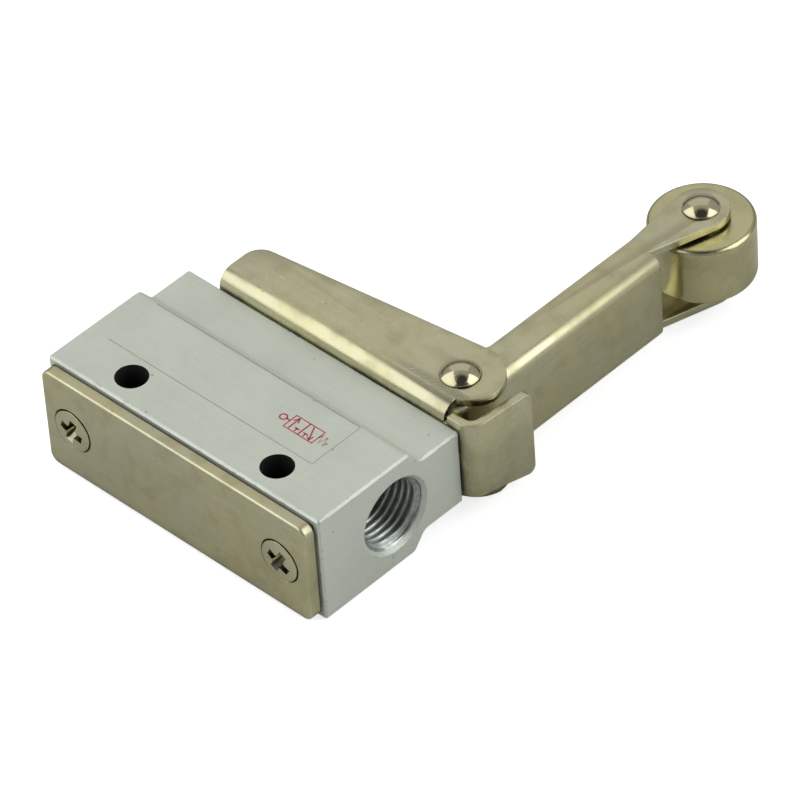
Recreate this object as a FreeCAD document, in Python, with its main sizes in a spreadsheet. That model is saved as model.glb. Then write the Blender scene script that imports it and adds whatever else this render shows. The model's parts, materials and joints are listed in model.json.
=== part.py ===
import FreeCAD, Part
import os
import Sketcher
from FreeCAD import Placement, Rotation, Vector

# Roller lever air valve: a three-port spool valve in a square block, worked by a roller on a
# pressed bell-crank lever that turns in a pressed channel bracket.
#
# Frame: +X along the block towards the outlet port, +Y from the cover plate towards the roller,
# +Z through the thickness. The origin is midway between the two mounting holes, on the face
# that the valve lies on. All sizes are in millimetres, and angles in degrees.

SIZES = (
    ("body_length", 60.0, "valve block from end to end"),
    ("body_width", 31.5, "valve block from its cover face to its bracket face"),
    ("body_height", 21.0, "valve block and bracket, thickness"),
    ("hole_spacing", 32.3, "between the two mounting holes"),
    ("hole_radius", 2.8, "mounting hole"),
    ("hole_inset", 5.1, "mounting holes from the cover face"),
    ("waist_inset", 20.3, "from the cover face to where the block starts to thin"),
    ("waist_run", 2.4, "length of the slope that thins the block"),
    ("waist_round", 1.4, "rounding at the top and the foot of that slope"),
    ("edge_break", 0.35, "chamfer on the block's outer edges"),
    ("port_radius", 6.58, "port, at the crest diameter of a quarter-inch pipe thread"),
    ("port_depth", 12.0, "threaded depth of a port"),
    ("port_lead_in", 0.6, "chamfer at a port's mouth"),
    ("passage_radius", 1.9, "drilled passage from a port to the valve bore"),
    ("bore_radius", 5.3, "valve bore through the block"),
    ("cover_margin", 0.7, "block's edge that shows round the cover plate"),
    ("cover_thickness", 2.0, "cover plate"),
    ("cover_corner", 1.8, "corner radius of the cover plate"),
    ("cover_edge", 0.4, "rounding of the cover plate's outer edge"),
    ("gasket_thickness", 0.5, "cover gasket"),
    ("gasket_setback", 0.5, "gasket's edge inside the cover plate's edge"),
    ("cover_screw_inset", 6.9, "cover screws from the block's ends"),
    ("cover_screw_radius", 2.0, "cover screw, thread"),
    ("cover_screw_head", 4.0, "cover screw, head radius"),
    ("cover_screw_raise", 0.5, "height of the cover screw's oval head above the plate"),
    ("cover_screw_length", 9.0, "cover screw below the plate's face"),
    ("sheet", 1.5, "sheet thickness of the bracket and the lever"),
    ("bracket_bend", 3.0, "outer bend radius of the bracket"),
    ("bracket_inset", 7.0, "bracket's left end from the block's left end"),
    ("bracket_left_height", 9.1, "bracket's flange at its left end, above the block"),
    ("bracket_corner", 3.4, "rounding of the flange's free corner"),
    ("bracket_eye", 7.3, "radius of the bracket's flange about the pivot"),
    ("bracket_nose", 6.2, "rounding of the flange from its eye down to its bend"),
    ("bend_cut", 3.3, "right end of the bracket's long bends, from the pivot"),
    ("tab_reach", 3.0, "outer face of the guard tab beyond the block's end"),
    ("tab_height", 13.6, "guard tab above the block"),
    ("tab_relief", 0.8, "notch between the long bends and the tab"),
    ("tab_straight", 0.4, "tab past its bend, before its edges slope"),
    ("tab_low", 1.5, "tab's lower edge at its free end, above the floor"),
    ("tab_high", 18.6, "tab's upper edge at its free end, above the floor"),
    ("tab_low_root", 4.5, "tab's lower edge at its bend, above the floor"),
    ("tab_high_root", 19.6, "tab's upper edge at its bend, above the floor"),
    ("tab_corner", 1.3, "rounding of the tab's two corners"),
    ("bracket_screw_spacing", 30.0, "between the two bracket screws"),
    ("bracket_screw_radius", 1.5, "bracket screw, thread"),
    ("bracket_screw_head", 2.8, "bracket screw, head radius"),
    ("bracket_screw_length", 7.0, "bracket screw below the web's face"),
    ("stem_hole", 4.4, "hole in the bracket's web round the plunger"),
    ("pivot_inset", 6.6, "pivot from the block's right end"),
    ("pivot_height", 7.6, "pivot above the block's bracket face"),
    ("pivot_radius", 2.5, "pivot pin"),
    ("pivot_head_radius", 3.3, "pivot pin's domed head"),
    ("pivot_head_height", 1.6, "pivot pin's domed head"),
    ("pivot_flush", 0.9, "depth of the countersink that the pin is riveted into"),
    ("press_angle", 9.0, "turn of the lever from rest to fully pressed"),
    ("heel_overhang", 4.0, "lever's heel beyond the plunger's axis"),
    ("heel_depth", 5.2, "height of the heel's end"),
    ("lever_side_gap", 0.3, "between the lever and a bracket flange"),
    ("lever_bend", 2.2, "outer bend radius of the lever"),
    ("lever_corner", 2.0, "rounding of the lever's corners at its heel and neck"),
    ("lever_toe", 3.5, "rounding where the lever's back turns into its underside"),
    ("lever_foot_gap", 0.1, "between the lever's underside and the bracket's web"),
    ("lever_back", 4.2, "lever's back face from the pivot"),
    ("lever_front", 2.4, "lever's free edge from the pivot, the other way"),
    ("lever_back_length", 42.3, "end of the lever's back, from the pivot"),
    ("arm_length", 55.8, "roller's axis from the pivot, along the arm"),
    ("arm_lean", 0.9, "roller's axis from the pivot, across the arm"),
    ("fork_radius", 4.8, "lever's rounded tip about the roller pin"),
    ("fork_neck", 1.9, "tip's outer edge from the pivot where the back ends"),
    ("roller_radius", 9.0, "roller"),
    ("roller_width", 11.2, "roller"),
    ("roller_edge", 0.9, "rounding of the roller's rims"),
    ("roller_raise", 1.0, "roller's middle above the lever's middle"),
    ("roller_pin_radius", 2.0, "roller pin"),
    ("roller_head_radius", 3.15, "roller pin's domed heads"),
    ("roller_head_height", 1.4, "roller pin's domed heads"),
    ("washer_radius", 4.0, "washers beside the roller"),
    ("seal_thickness", 1.9, "room along the bore for one seal ring"),
    ("cage_length", 5.3, "flow cage between two seals"),
    ("cage_wall", 0.9, "wall of a flow cage"),
    ("cage_gap", 0.3, "between a flow cage and the spool"),
    ("cage_holes", 6, "cross holes of a flow cage"),
    ("cage_groove", 3.0, "width of the groove round a flow cage"),
    ("cage_hole", 1.1, "radius of a flow cage's cross holes"),
    ("retainer_length", 8.4, "seal retainer, from the cover face inwards"),
    ("retainer_wall", 0.8, "wall of the seal retainer"),
    ("retainer_lip", 1.5, "thickness of the retainer's inner lip"),
    ("spool_radius", 3.5, "spool's lands and the plunger"),
    ("spool_neck", 2.2, "spool between its lands"),
    ("seal_lap", 0.6, "land past a closed seal"),
    ("seal_opening", 1.0, "neck past an open seal"),
    ("collar_radius", 4.2, "spool's end collar"),
    ("collar_thickness", 1.2, "spool's end collar"),
    ("collar_gap", 0.25, "between the collar and the retainer's lip"),
    ("plunger_joint", 1.2, "spool's end below the block's bracket face"),
    ("spigot_radius", 1.5, "plunger's spigot in the spool"),
    ("spigot_length", 3.0, "plunger's spigot in the spool"),
    ("dome_radius", 6.0, "rounding of the plunger's end"),
    ("bush_relief", 2.3, "length of the exhaust room inside the guide bush"),
    ("flute_reach", 4.2, "exhaust flutes of the guide bush, from its axis"),
    ("flute_width", 1.6, "exhaust flutes of the guide bush"),
    ("flutes", 4, "number of exhaust flutes"),
    ("spring_well", 9.0, "depth of the spring's bore in the spool"),
    ("spring_radius", 2.05, "return spring, mean radius"),
    ("spring_wire", 0.3, "return spring, wire radius"),
    ("spring_pitch", 1.8, "return spring"),
    ("running_gap", 0.04, "radial clearance of shafts that turn or slide"),
    ("seat_gap", 0.05, "clearance of parts that are seated and stay still"),
)

doc = FreeCAD.newDocument("roller_lever_air_valve")
sheet = doc.addObject("Spreadsheet::Sheet", "sizes")
for row, (alias, number, meaning) in enumerate(SIZES, start=1):
    sheet.set(f"A{row}", alias)
    sheet.set(f"B{row}", str(number))
    sheet.set(f"C{row}", meaning)
    sheet.setAlias(f"B{row}", alias)
doc.recompute()

LEFT_TURN, RIGHT_TURN = 1, -1
SAME_PLACE = 0.001

# A driver recess as shares of its screw's head radius.
RECESS_ARM, RECESS_WIDTH, RECESS_DEPTH = 0.6, 0.14, 0.38

# Places that several pieces share, as expressions on the sheet.
FRONT = "(-sizes.hole_inset)"
REAR = "(sizes.body_width - sizes.hole_inset)"
MIDDLE = "(sizes.body_height / 2)"
REAR_HEIGHT = "(sizes.body_height - 2 * sizes.bracket_bend)"
PIVOT_X = "(sizes.body_length / 2 - sizes.pivot_inset)"
PIVOT_Y = f"({REAR} + sizes.pivot_height)"
ROLLER_X = f"({PIVOT_X} + sizes.arm_lean)"
ROLLER_Y = f"({PIVOT_Y} + sizes.arm_length)"
TURN = "(sizes.press_angle * 1 deg)"
FOOT = "(sizes.pivot_height - sizes.sheet - sizes.lever_foot_gap)"
LEVER_HALF = "(sizes.body_height / 2 - sizes.sheet - sizes.lever_side_gap)"
LEVER_INNER = f"({LEVER_HALF} - sizes.sheet)"
COVER_SCREW_X = "(sizes.body_length / 2 - sizes.cover_screw_inset)"
COVER_FACE = "(-sizes.gasket_thickness)"
COVER_TOP = "(-sizes.gasket_thickness - sizes.cover_thickness)"
SEAL_BORE = "(sizes.bore_radius - sizes.spool_radius)"

# Stations along the valve bore, counted from the cover face of the block.
FRONT_SEAL = "sizes.retainer_length"
INLET_CAGE = f"({FRONT_SEAL} + sizes.seal_thickness)"
MIDDLE_SEAL = f"({INLET_CAGE} + sizes.cage_length)"
OUTLET_CAGE = f"({MIDDLE_SEAL} + sizes.seal_thickness)"
REAR_SEAL = f"({OUTLET_CAGE} + sizes.cage_length)"
BUSH_START = f"({REAR_SEAL} + sizes.seal_thickness)"
PORT_LEVEL = f"({MIDDLE_SEAL} + sizes.seal_thickness / 2)"
INLET_LEVEL = f"({INLET_CAGE} + sizes.cage_length / 2)"
OUTLET_LEVEL = f"({OUTLET_CAGE} + sizes.cage_length / 2)"
COLLAR_END = "(sizes.retainer_length - sizes.retainer_lip - sizes.collar_gap)"
NECK_START = f"({OUTLET_CAGE} + sizes.seal_lap)"
NECK_END = f"({BUSH_START} + sizes.seal_opening)"
SPOOL_END = "(sizes.body_width - sizes.plunger_joint)"
PLUNGER_TOP = (
    f"(sizes.body_width + sizes.pivot_height - ({FOOT} + sizes.dome_radius) / cos{TURN}"
    f" + {PIVOT_X} * tan{TURN} + sizes.dome_radius - sizes.running_gap)"
)

AROUND_BORE = Rotation(Vector(1, 0, 0), -90)
FACING_FRONT = Rotation(Vector(1, 0, 0), 90)
UPRIGHT = Rotation()


def value(expression):
    """The number that an expression on the sheet stands for."""
    result = sheet.evalExpression(str(expression))
    return float(getattr(result, "Value", result))


def new_body(label, place=("0", "0", "0"), turn=UPRIGHT):
    """An empty body whose place is bound to the sheet."""
    body = doc.addObject("PartDesign::Body", label)
    body.Placement = Placement(Vector(*(value(axis) for axis in place)), turn)
    for axis, expression in zip("xyz", place):
        body.setExpression(f"Placement.Base.{axis}", expression)
    return body


def new_sketch(body, name, plane, offset="0"):
    """An empty sketch on one of the body's own planes, moved along that plane's normal."""
    sketch = body.newObject("Sketcher::SketchObject", f"{body.Name}_{name}")
    base = next(item for item in body.Origin.OriginFeatures if item.Role == plane)
    sketch.AttachmentSupport = [(base, "")]
    sketch.MapMode = "FlatFace"
    sketch.setExpression("AttachmentOffset.Base.z", offset)
    return sketch


def bind(sketch, kind, *where, size):
    """One dimension of a sketch, bound to the sheet."""
    index = sketch.addConstraint(Sketcher.Constraint(kind, *where, value(size)))
    sketch.setExpression(f"Constraints[{index}]", str(size))


def pin_point(sketch, edge, end, across, up):
    """Hold one point of a sketch at its two distances from the sketch's origin."""
    bind(sketch, "DistanceX", -1, 1, edge, end, size=across)
    bind(sketch, "DistanceY", -1, 1, edge, end, size=up)


def arc_between(start, finish, radius, turn):
    """The short arc between two points that turns left or right."""
    chord = finish - start
    rise = max(radius * radius - chord.Length ** 2 / 4, 0) ** 0.5
    normal = Vector(-chord.y, chord.x, 0).normalize() * turn
    centre = (start + finish) * 0.5 + normal * rise
    first, last = (start, finish) if turn == LEFT_TURN else (finish, start)
    x_axis = Vector(1, 0, 0)
    angles = []
    for point in (first, last):
        arm = point - centre
        angle = x_axis.getAngle(arm)
        angles.append(angle if arm.y >= 0 else -angle)
    circle = Part.Circle(centre, Vector(0, 0, 1), radius)
    return Part.ArcOfCircle(circle, angles[0], angles[1])


def outline(sketch, corners):
    """A closed outline. A corner is (across, up), or (across, up, radius, turn) where the edge
    that leaves it is an arc."""
    points = [Vector(value(corner[0]), value(corner[1]), 0) for corner in corners]
    first_edge = sketch.GeometryCount
    ends = []
    for index, corner in enumerate(corners):
        start = points[index]
        finish = points[(index + 1) % len(corners)]
        if len(corner) == 2:
            sketch.addGeometry(Part.LineSegment(start, finish), False)
            ends.append((1, 2))
        else:
            arc = arc_between(start, finish, value(corner[2]), corner[3])
            sketch.addGeometry(arc, False)
            ends.append((1, 2) if corner[3] == LEFT_TURN else (2, 1))
    for index, corner in enumerate(corners):
        edge = first_edge + index
        before = index - 1 if index else len(corners) - 1
        meeting = (first_edge + before, ends[before][1], edge, ends[index][0])
        sketch.addConstraint(Sketcher.Constraint("Coincident", *meeting))
        pin_point(sketch, edge, ends[index][0], corner[0], corner[1])
        if len(corner) > 2:
            bind(sketch, "Radius", edge, size=corner[2])
    return sketch


def circle(sketch, across, up, radius):
    """A full circle in a sketch."""
    centre = Vector(value(across), value(up), 0)
    edge = sketch.addGeometry(Part.Circle(centre, Vector(0, 0, 1), value(radius)), False)
    pin_point(sketch, edge, 3, across, up)
    bind(sketch, "Radius", edge, size=radius)
    return sketch


def feature(kind, sketch, name, length=None, flip=False):
    """A pad or pocket of a sketch. With no length a pocket goes right through."""
    body = sketch.getParentGeoFeatureGroup()
    item = body.newObject(f"PartDesign::{kind}", f"{body.Name}_{name}")
    item.Profile = sketch
    item.Reversed = flip
    if length is None:
        item.Type = "ThroughAll"
    else:
        item.setExpression("Length", length)
    doc.recompute()
    return item


def turned(body, name, corners):
    """A turned solid: corners are (radius, station) round the body's own Z axis."""
    sketch = outline(new_sketch(body, f"{name}_profile", "XZ_Plane"), corners)
    item = body.newObject("PartDesign::Revolution", f"{body.Name}_{name}")
    item.Profile = sketch
    item.ReferenceAxis = (sketch, ["V_Axis"])
    item.Angle = 360
    doc.recompute()
    return item


def around(body, item, copies):
    """Copies of a feature, evenly spaced round the body's own Z axis."""
    pattern = body.newObject("PartDesign::PolarPattern", f"{item.Name}_pattern")
    pattern.Originals = [item]
    flat = item.Profile[0].AttachmentSupport[0][0].Role == "XY_Plane"
    pattern.Axis = (item.Profile[0], ["N_Axis" if flat else "V_Axis"])
    pattern.Angle = 360
    pattern.setExpression("Occurrences", copies)
    body.Tip = pattern
    doc.recompute()
    return pattern


def edge_names(item, test):
    """The names of the edges of a feature that pass a test on three points of the edge."""
    names = []
    for index, edge in enumerate(item.Shape.Edges, start=1):
        first, last = edge.ParameterRange
        points = [edge.valueAt(first + (last - first) * share) for share in (0, 0.5, 1)]
        if test(points):
            names.append(f"Edge{index}")
    if not names:
        raise RuntimeError(f"no edge of {item.Name} passes")
    return names


def along(axis, **place):
    """A test for straight edges along an axis at two stated coordinates."""
    fixed = {name: value(expression) for name, expression in place.items()}

    def test(points):
        spread = abs(getattr(points[0], axis) - getattr(points[2], axis))
        return spread > SAME_PLACE and all(
            abs(getattr(point, name) - number) < SAME_PLACE
            for point in points
            for name, number in fixed.items()
        )

    return test


def in_plane(**place):
    """A test for edges that lie in a plane square to an axis."""
    fixed = {name: value(expression) for name, expression in place.items()}

    def test(points):
        return all(
            abs(getattr(point, name) - number) < SAME_PLACE
            for point in points
            for name, number in fixed.items()
        )

    return test


def hole_rim(across, radius, **place):
    """A test for the rim of a round hole in a plane; across gives the hole's centre."""
    flat = in_plane(**place)
    reach = value(radius)
    centre = {name: value(expression) for name, expression in across.items()}

    def test(points):
        return flat(points) and all(
            abs(
                sum((getattr(point, name) - number) ** 2 for name, number in centre.items()) ** 0.5
                - reach
            )
            < SAME_PLACE
            for point in points
        )

    return test


def countersunk(body, name, place, turn, mouth, hole):
    """A conical seat for a screw or rivet head, sunk into a face."""
    cone = body.newObject("PartDesign::SubtractiveCone", f"{body.Name}_{name}")
    cone.setExpression("Radius1", mouth)
    cone.setExpression("Radius2", hole)
    cone.setExpression("Height", f"({mouth} - {hole})")
    cone.Placement = Placement(Vector(*(value(axis) for axis in place)), turn)
    for axis, expression in zip("xyz", place):
        cone.setExpression(f"Placement.Base.{axis}", expression)
    doc.recompute()
    return cone


def any_of(*tests):
    """A test that passes where one of the tests does."""
    return lambda points: any(test(points) for test in tests)


def rounded(item, name, radius, *tests):
    """A fillet on the edges that pass one of the tests."""
    body = item.getParentGeoFeatureGroup()
    fillet = body.newObject("PartDesign::Fillet", f"{body.Name}_{name}")
    fillet.Base = (item, edge_names(item, any_of(*tests)))
    fillet.setExpression("Radius", radius)
    doc.recompute()
    return fillet


def bevelled(item, name, size, *tests):
    """A chamfer on the edges that pass one of the tests."""
    body = item.getParentGeoFeatureGroup()
    chamfer = body.newObject("PartDesign::Chamfer", f"{body.Name}_{name}")
    chamfer.Base = (item, edge_names(item, any_of(*tests)))
    chamfer.setExpression("Size", size)
    doc.recompute()
    return chamfer


def touch_point(point, centre, radius, side):
    """Where the line from a point touches a circle: expressions for its two coordinates."""
    run = f"({centre[0]} - ({point[0]}))"
    rise = f"({centre[1]} - ({point[1]}))"
    reach = f"sqrt({run}^2 + {rise}^2)"
    opening = f"acos({radius} / {reach})"
    back = f"atan2(-{rise}; -{run})"
    angle = f"({back} {'+' if side == LEFT_TURN else '-'} {opening})"
    return (f"({centre[0]} + {radius} * cos{angle})", f"({centre[1]} + {radius} * sin{angle})")


def make_valve_body():
    """The block: thinned behind a sloping shoulder, bored along Y, with a port in each end."""
    body = new_body("valve_body")
    shoulder = f"({FRONT} + sizes.waist_inset)"
    waist = f"({FRONT} + sizes.waist_inset + sizes.waist_run)"
    low = "sizes.bracket_bend"
    high = f"({low} + {REAR_HEIGHT})"
    profile = new_sketch(body, "side_view", "YZ_Plane", "-sizes.body_length / 2")
    outline(
        profile,
        [
            (FRONT, "0"), (shoulder, "0"), (waist, low), (REAR, low),
            (REAR, high), (waist, high), (shoulder, "sizes.body_height"), (FRONT, "sizes.body_height"),
        ],
    )
    block = feature("Pad", profile, "block", "sizes.body_length")
    block = rounded(
        block, "shoulder_rounding", "sizes.waist_round",
        along("x", y=shoulder, z="0"), along("x", y=shoulder, z="sizes.body_height"),
        along("x", y=waist, z=low), along("x", y=waist, z=high),
    )
    block = bevelled(
        block, "broken_edges", "sizes.edge_break",
        in_plane(x="sizes.body_length / 2"), in_plane(x="-sizes.body_length / 2"),
        along("x", y=FRONT, z="0"), along("x", y=FRONT, z="sizes.body_height"),
        along("x", y=REAR, z=low), along("x", y=REAR, z=high),
    )

    mounting = new_sketch(body, "mounting_holes", "XY_Plane", "sizes.body_height")
    circle(mounting, "-sizes.hole_spacing / 2", "0", "sizes.hole_radius")
    circle(mounting, "sizes.hole_spacing / 2", "0", "sizes.hole_radius")
    feature("Pocket", mounting, "mounting_pocket")

    bore = circle(
        new_sketch(body, "bore", "XZ_Plane", "sizes.hole_inset"), "0", MIDDLE, "sizes.bore_radius"
    )
    feature("Pocket", bore, "bore_pocket")

    port_y = f"({FRONT} + {PORT_LEVEL})"
    for side, sign, level in (("right", "", OUTLET_LEVEL), ("left", "-", INLET_LEVEL)):
        end = f"{sign}sizes.body_length / 2"
        flip = side == "left"
        port = circle(
            new_sketch(body, f"{side}_port", "YZ_Plane", end), port_y, MIDDLE, "sizes.port_radius"
        )
        feature("Pocket", port, f"{side}_port_pocket", "sizes.port_depth", flip)
        passage = circle(
            new_sketch(body, f"{side}_passage", "YZ_Plane", end),
            f"({FRONT} + {level})", MIDDLE, "sizes.passage_radius",
        )
        feature("Pocket", passage, f"{side}_passage_pocket", "sizes.body_length / 2", flip)

    cover_holes = new_sketch(body, "cover_screw_holes", "XZ_Plane", "sizes.hole_inset")
    for sign in ("-", ""):
        circle(
            cover_holes, f"{sign}{COVER_SCREW_X}", MIDDLE,
            "(sizes.cover_screw_radius + sizes.seat_gap)",
        )
    feature("Pocket", cover_holes, "cover_screw_pocket", "sizes.cover_screw_length")

    bracket_holes = new_sketch(body, "bracket_screw_holes", "XZ_Plane", f"-{REAR}")
    for sign in ("-", ""):
        circle(
            bracket_holes, f"{sign}sizes.bracket_screw_spacing / 2", MIDDLE,
            "(sizes.bracket_screw_radius + sizes.seat_gap)",
        )
    drilled = feature(
        "Pocket", bracket_holes, "bracket_screw_pocket", "sizes.bracket_screw_length", True
    )
    around_port = {"y": port_y, "z": MIDDLE}
    bevelled(
        drilled, "port_mouths", "sizes.port_lead_in",
        hole_rim(around_port, "sizes.port_radius", x="sizes.body_length / 2"),
        hole_rim(around_port, "sizes.port_radius", x="-sizes.body_length / 2"),
    )
    return body


def plate_outline(sketch, margin):
    """A rectangle that leaves the same margin of the block's cover face all round."""
    half = f"(sizes.body_length / 2 - {margin})"
    top = f"(sizes.body_height - {margin})"
    return outline(sketch, [(f"-{half}", margin), (half, margin), (half, top), (f"-{half}", top)])


def make_cover_gasket():
    """The thin gasket between the block and the cover plate."""
    margin = "(sizes.cover_margin + sizes.gasket_setback)"
    body = new_body("cover_gasket")
    sketch = plate_outline(new_sketch(body, "outline", "XZ_Plane", "sizes.hole_inset"), margin)
    circle(sketch, "0", MIDDLE, "(sizes.bore_radius - sizes.retainer_wall)")
    for sign in ("-", ""):
        circle(
            sketch, f"{sign}{COVER_SCREW_X}", MIDDLE,
            "(sizes.cover_screw_radius + sizes.seat_gap)",
        )
    feature("Pad", sketch, "strip", "sizes.gasket_thickness")
    return body


def make_cover_plate():
    """The nickel-plated plate that closes the bore and carries the return spring."""
    body = new_body("cover_plate")
    inner = "(sizes.hole_inset + sizes.gasket_thickness)"
    sketch = plate_outline(new_sketch(body, "outline", "XZ_Plane", inner), "sizes.cover_margin")
    plate = feature("Pad", sketch, "plate", "sizes.cover_thickness")
    half = "(sizes.body_length / 2 - sizes.cover_margin)"
    low = "sizes.cover_margin"
    high = "(sizes.body_height - sizes.cover_margin)"
    plate = rounded(
        plate, "corners", "sizes.cover_corner",
        *(along("y", x=f"{sign}{half}", z=level) for sign in ("-", "") for level in (low, high)),
    )
    face = f"({FRONT} + {COVER_TOP})"
    plate = rounded(plate, "outer_edge", "sizes.cover_edge", in_plane(y=face))
    holes = new_sketch(body, "screw_holes", "XZ_Plane", f"({inner} + sizes.cover_thickness)")
    hole = "(sizes.cover_screw_radius + 2 * sizes.seat_gap)"
    for sign in ("-", ""):
        circle(holes, f"{sign}{COVER_SCREW_X}", MIDDLE, hole)
    feature("Pocket", holes, "screw_pocket")
    for side, sign in (("left", "-"), ("right", "")):
        seat = (f"{sign}{COVER_SCREW_X}", face, MIDDLE)
        mouth = "(sizes.cover_screw_head + 2 * sizes.seat_gap)"
        countersunk(body, f"{side}_countersink", seat, AROUND_BORE, mouth, hole)
    return body


def cross_recess(body, level, head):
    """A cross-shaped driver recess, sunk from a level down the body's own Z axis."""
    long, wide = f"({RECESS_ARM} * {head})", f"({RECESS_WIDTH} * {head})"
    corners = [
        (wide, long), (f"-{wide}", long), (f"-{wide}", wide), (f"-{long}", wide),
        (f"-{long}", f"-{wide}"), (f"-{wide}", f"-{wide}"), (f"-{wide}", f"-{long}"),
        (wide, f"-{long}"), (wide, f"-{wide}"), (long, f"-{wide}"), (long, wide), (wide, wide),
    ]
    sketch = outline(new_sketch(body, "recess_outline", "XY_Plane", level), corners)
    return feature("Pocket", sketch, "recess", f"{RECESS_DEPTH} * {head}")


def make_cover_screw(label, sign):
    """A countersunk screw with an oval head, square to the cover plate."""
    place = (f"{sign}{COVER_SCREW_X}", f"({FRONT} + {COVER_TOP})", MIDDLE)
    body = new_body(label, place, FACING_FRONT)
    head, shaft = "sizes.cover_screw_head", "sizes.cover_screw_radius"
    swell = "sizes.cover_screw_raise"
    oval = f"(({head}^2 + {swell}^2) / (2 * {swell}))"
    turned(
        body, "screw",
        [
            ("0", "-sizes.cover_screw_length"), (shaft, "-sizes.cover_screw_length"),
            (shaft, f"-({head} - {shaft})"), (head, "0", oval, LEFT_TURN), ("0", swell),
        ],
    )
    cross_recess(body, swell, head)
    return body


def make_bracket_screw(label, sign):
    """A countersunk screw, flush with the bracket's web."""
    place = (f"{sign}sizes.bracket_screw_spacing / 2", f"({REAR} + sizes.sheet)", MIDDLE)
    body = new_body(label, place, AROUND_BORE)
    head, shaft = "sizes.bracket_screw_head", "sizes.bracket_screw_radius"
    turned(
        body, "screw",
        [
            ("0", "-sizes.bracket_screw_length"), (shaft, "-sizes.bracket_screw_length"),
            (shaft, f"-({head} - {shaft})"), (head, "0"), ("0", "0"),
        ],
    )
    cross_recess(body, "0", head)
    return body


def make_bracket():
    """The pressed channel: a web on the block, two flanges that carry the pivot, and a tab that
    is bent up from the web's right end in front of the lever."""
    body = new_body("bracket")
    left = "(-sizes.body_length / 2 + sizes.bracket_inset)"
    crown = f"({PIVOT_Y} + sizes.bracket_eye)"
    inside = f"({REAR} + sizes.sheet)"
    high = "sizes.body_height"
    channel = new_sketch(body, "channel_section", "YZ_Plane", left)
    outline(
        channel,
        [
            (REAR, "0"), (crown, "0"), (crown, "sizes.sheet"), (inside, "sizes.sheet"),
            (inside, f"({high} - sizes.sheet)"), (crown, f"({high} - sizes.sheet)"),
            (crown, high), (REAR, high),
        ],
    )
    item = feature("Pad", channel, "channel", f"({PIVOT_X} + sizes.bracket_eye - {left})")
    item = rounded(
        item, "outer_bends", "sizes.bracket_bend", along("x", y=REAR, z="0"), along("x", y=REAR, z=high)
    )
    item = rounded(
        item, "inner_bends", "(sizes.bracket_bend - sizes.sheet)",
        along("x", y=inside, z="sizes.sheet"), along("x", y=inside, z=f"({high} - sizes.sheet)"),
    )

    corner = (left, f"({REAR} + sizes.bracket_left_height)")
    crest = touch_point(corner, (PIVOT_X, PIVOT_Y), "sizes.bracket_eye", RIGHT_TURN)
    beyond = f"({crown} + 1)"
    slope = new_sketch(body, "sloping_edge", "XY_Plane", high)
    outside = f"({left} - 1)"
    outline(slope, [corner, crest, (crest[0], beyond), (outside, beyond), (outside, corner[1])])
    feature("Pocket", slope, "sloping_cut")

    cheek = f"({PIVOT_X} + sizes.bracket_eye)"
    cut_x = f"({PIVOT_X} + sizes.bend_cut)"
    below = f"({REAR} - 1)"
    past = f"({cheek} + 1)"
    nose = new_sketch(body, "rounded_end", "XY_Plane", high)
    outline(
        nose,
        [
            (crest[0], crest[1], "sizes.bracket_eye", RIGHT_TURN),
            (cheek, PIVOT_Y, "sizes.bracket_nose", RIGHT_TURN),
            (cut_x, f"({REAR} + sizes.bracket_bend)"), (cut_x, below), (past, below),
            (past, beyond), (crest[0], beyond),
        ],
    )
    item = feature("Pocket", nose, "rounded_cut")
    item = rounded(
        item, "free_corner", "sizes.bracket_corner",
        along("z", x=corner[0], y=corner[1]),
    )

    tab_face = "(sizes.body_length / 2 + sizes.tab_reach)"
    tab_back = f"({tab_face} - sizes.sheet)"
    tab_top = f"({REAR} + sizes.tab_height)"
    root = f"({cut_x} - sizes.sheet)"
    tab_start = f"({cut_x} + sizes.tab_relief)"
    link = new_sketch(body, "web_end_section", "XY_Plane", "sizes.bracket_bend")
    outline(link, [(root, REAR), (tab_start, REAR), (tab_start, inside), (root, inside)])
    feature("Pad", link, "web_end", REAR_HEIGHT)
    blade_start = f"({REAR} + sizes.bracket_bend + sizes.tab_straight)"
    tab = new_sketch(body, "tab_section", "XY_Plane", "sizes.tab_low_root")
    outline(
        tab,
        [
            (tab_start, REAR), (tab_face, REAR), (tab_face, blade_start), (tab_back, blade_start),
            (tab_back, inside), (tab_start, inside),
        ],
    )
    feature("Pad", tab, "tab_root", "(sizes.tab_high_root - sizes.tab_low_root)")
    blade = new_sketch(body, "tab_side_view", "YZ_Plane", tab_back)
    outline(
        blade,
        [
            (blade_start, "sizes.tab_low_root"), (tab_top, "sizes.tab_low"),
            (tab_top, "sizes.tab_high"), (blade_start, "sizes.tab_high_root"),
        ],
    )
    item = feature("Pad", blade, "tab", "sizes.sheet")
    item = rounded(item, "tab_outer_bend", "sizes.bracket_bend", along("z", x=tab_face, y=REAR))
    item = rounded(
        item, "tab_inner_bend", "(sizes.bracket_bend - sizes.sheet)", along("z", x=tab_back, y=inside)
    )
    item = rounded(
        item, "tab_corners", "sizes.tab_corner",
        along("x", y=tab_top, z="sizes.tab_low"), along("x", y=tab_top, z="sizes.tab_high"),
    )

    web_holes = new_sketch(body, "web_holes", "XZ_Plane", f"-{inside}")
    screw_hole = "(sizes.bracket_screw_radius + 2 * sizes.seat_gap)"
    circle(web_holes, "0", MIDDLE, "sizes.stem_hole")
    for sign in ("-", ""):
        circle(web_holes, f"{sign}sizes.bracket_screw_spacing / 2", MIDDLE, screw_hole)
    feature("Pocket", web_holes, "web_pocket", "sizes.sheet", True)
    for side, sign in (("left", "-"), ("right", "")):
        seat = (f"{sign}sizes.bracket_screw_spacing / 2", inside, MIDDLE)
        mouth = "(sizes.bracket_screw_head + sizes.seat_gap)"
        countersunk(body, f"{side}_countersink", seat, FACING_FRONT, mouth, screw_hole)

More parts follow.
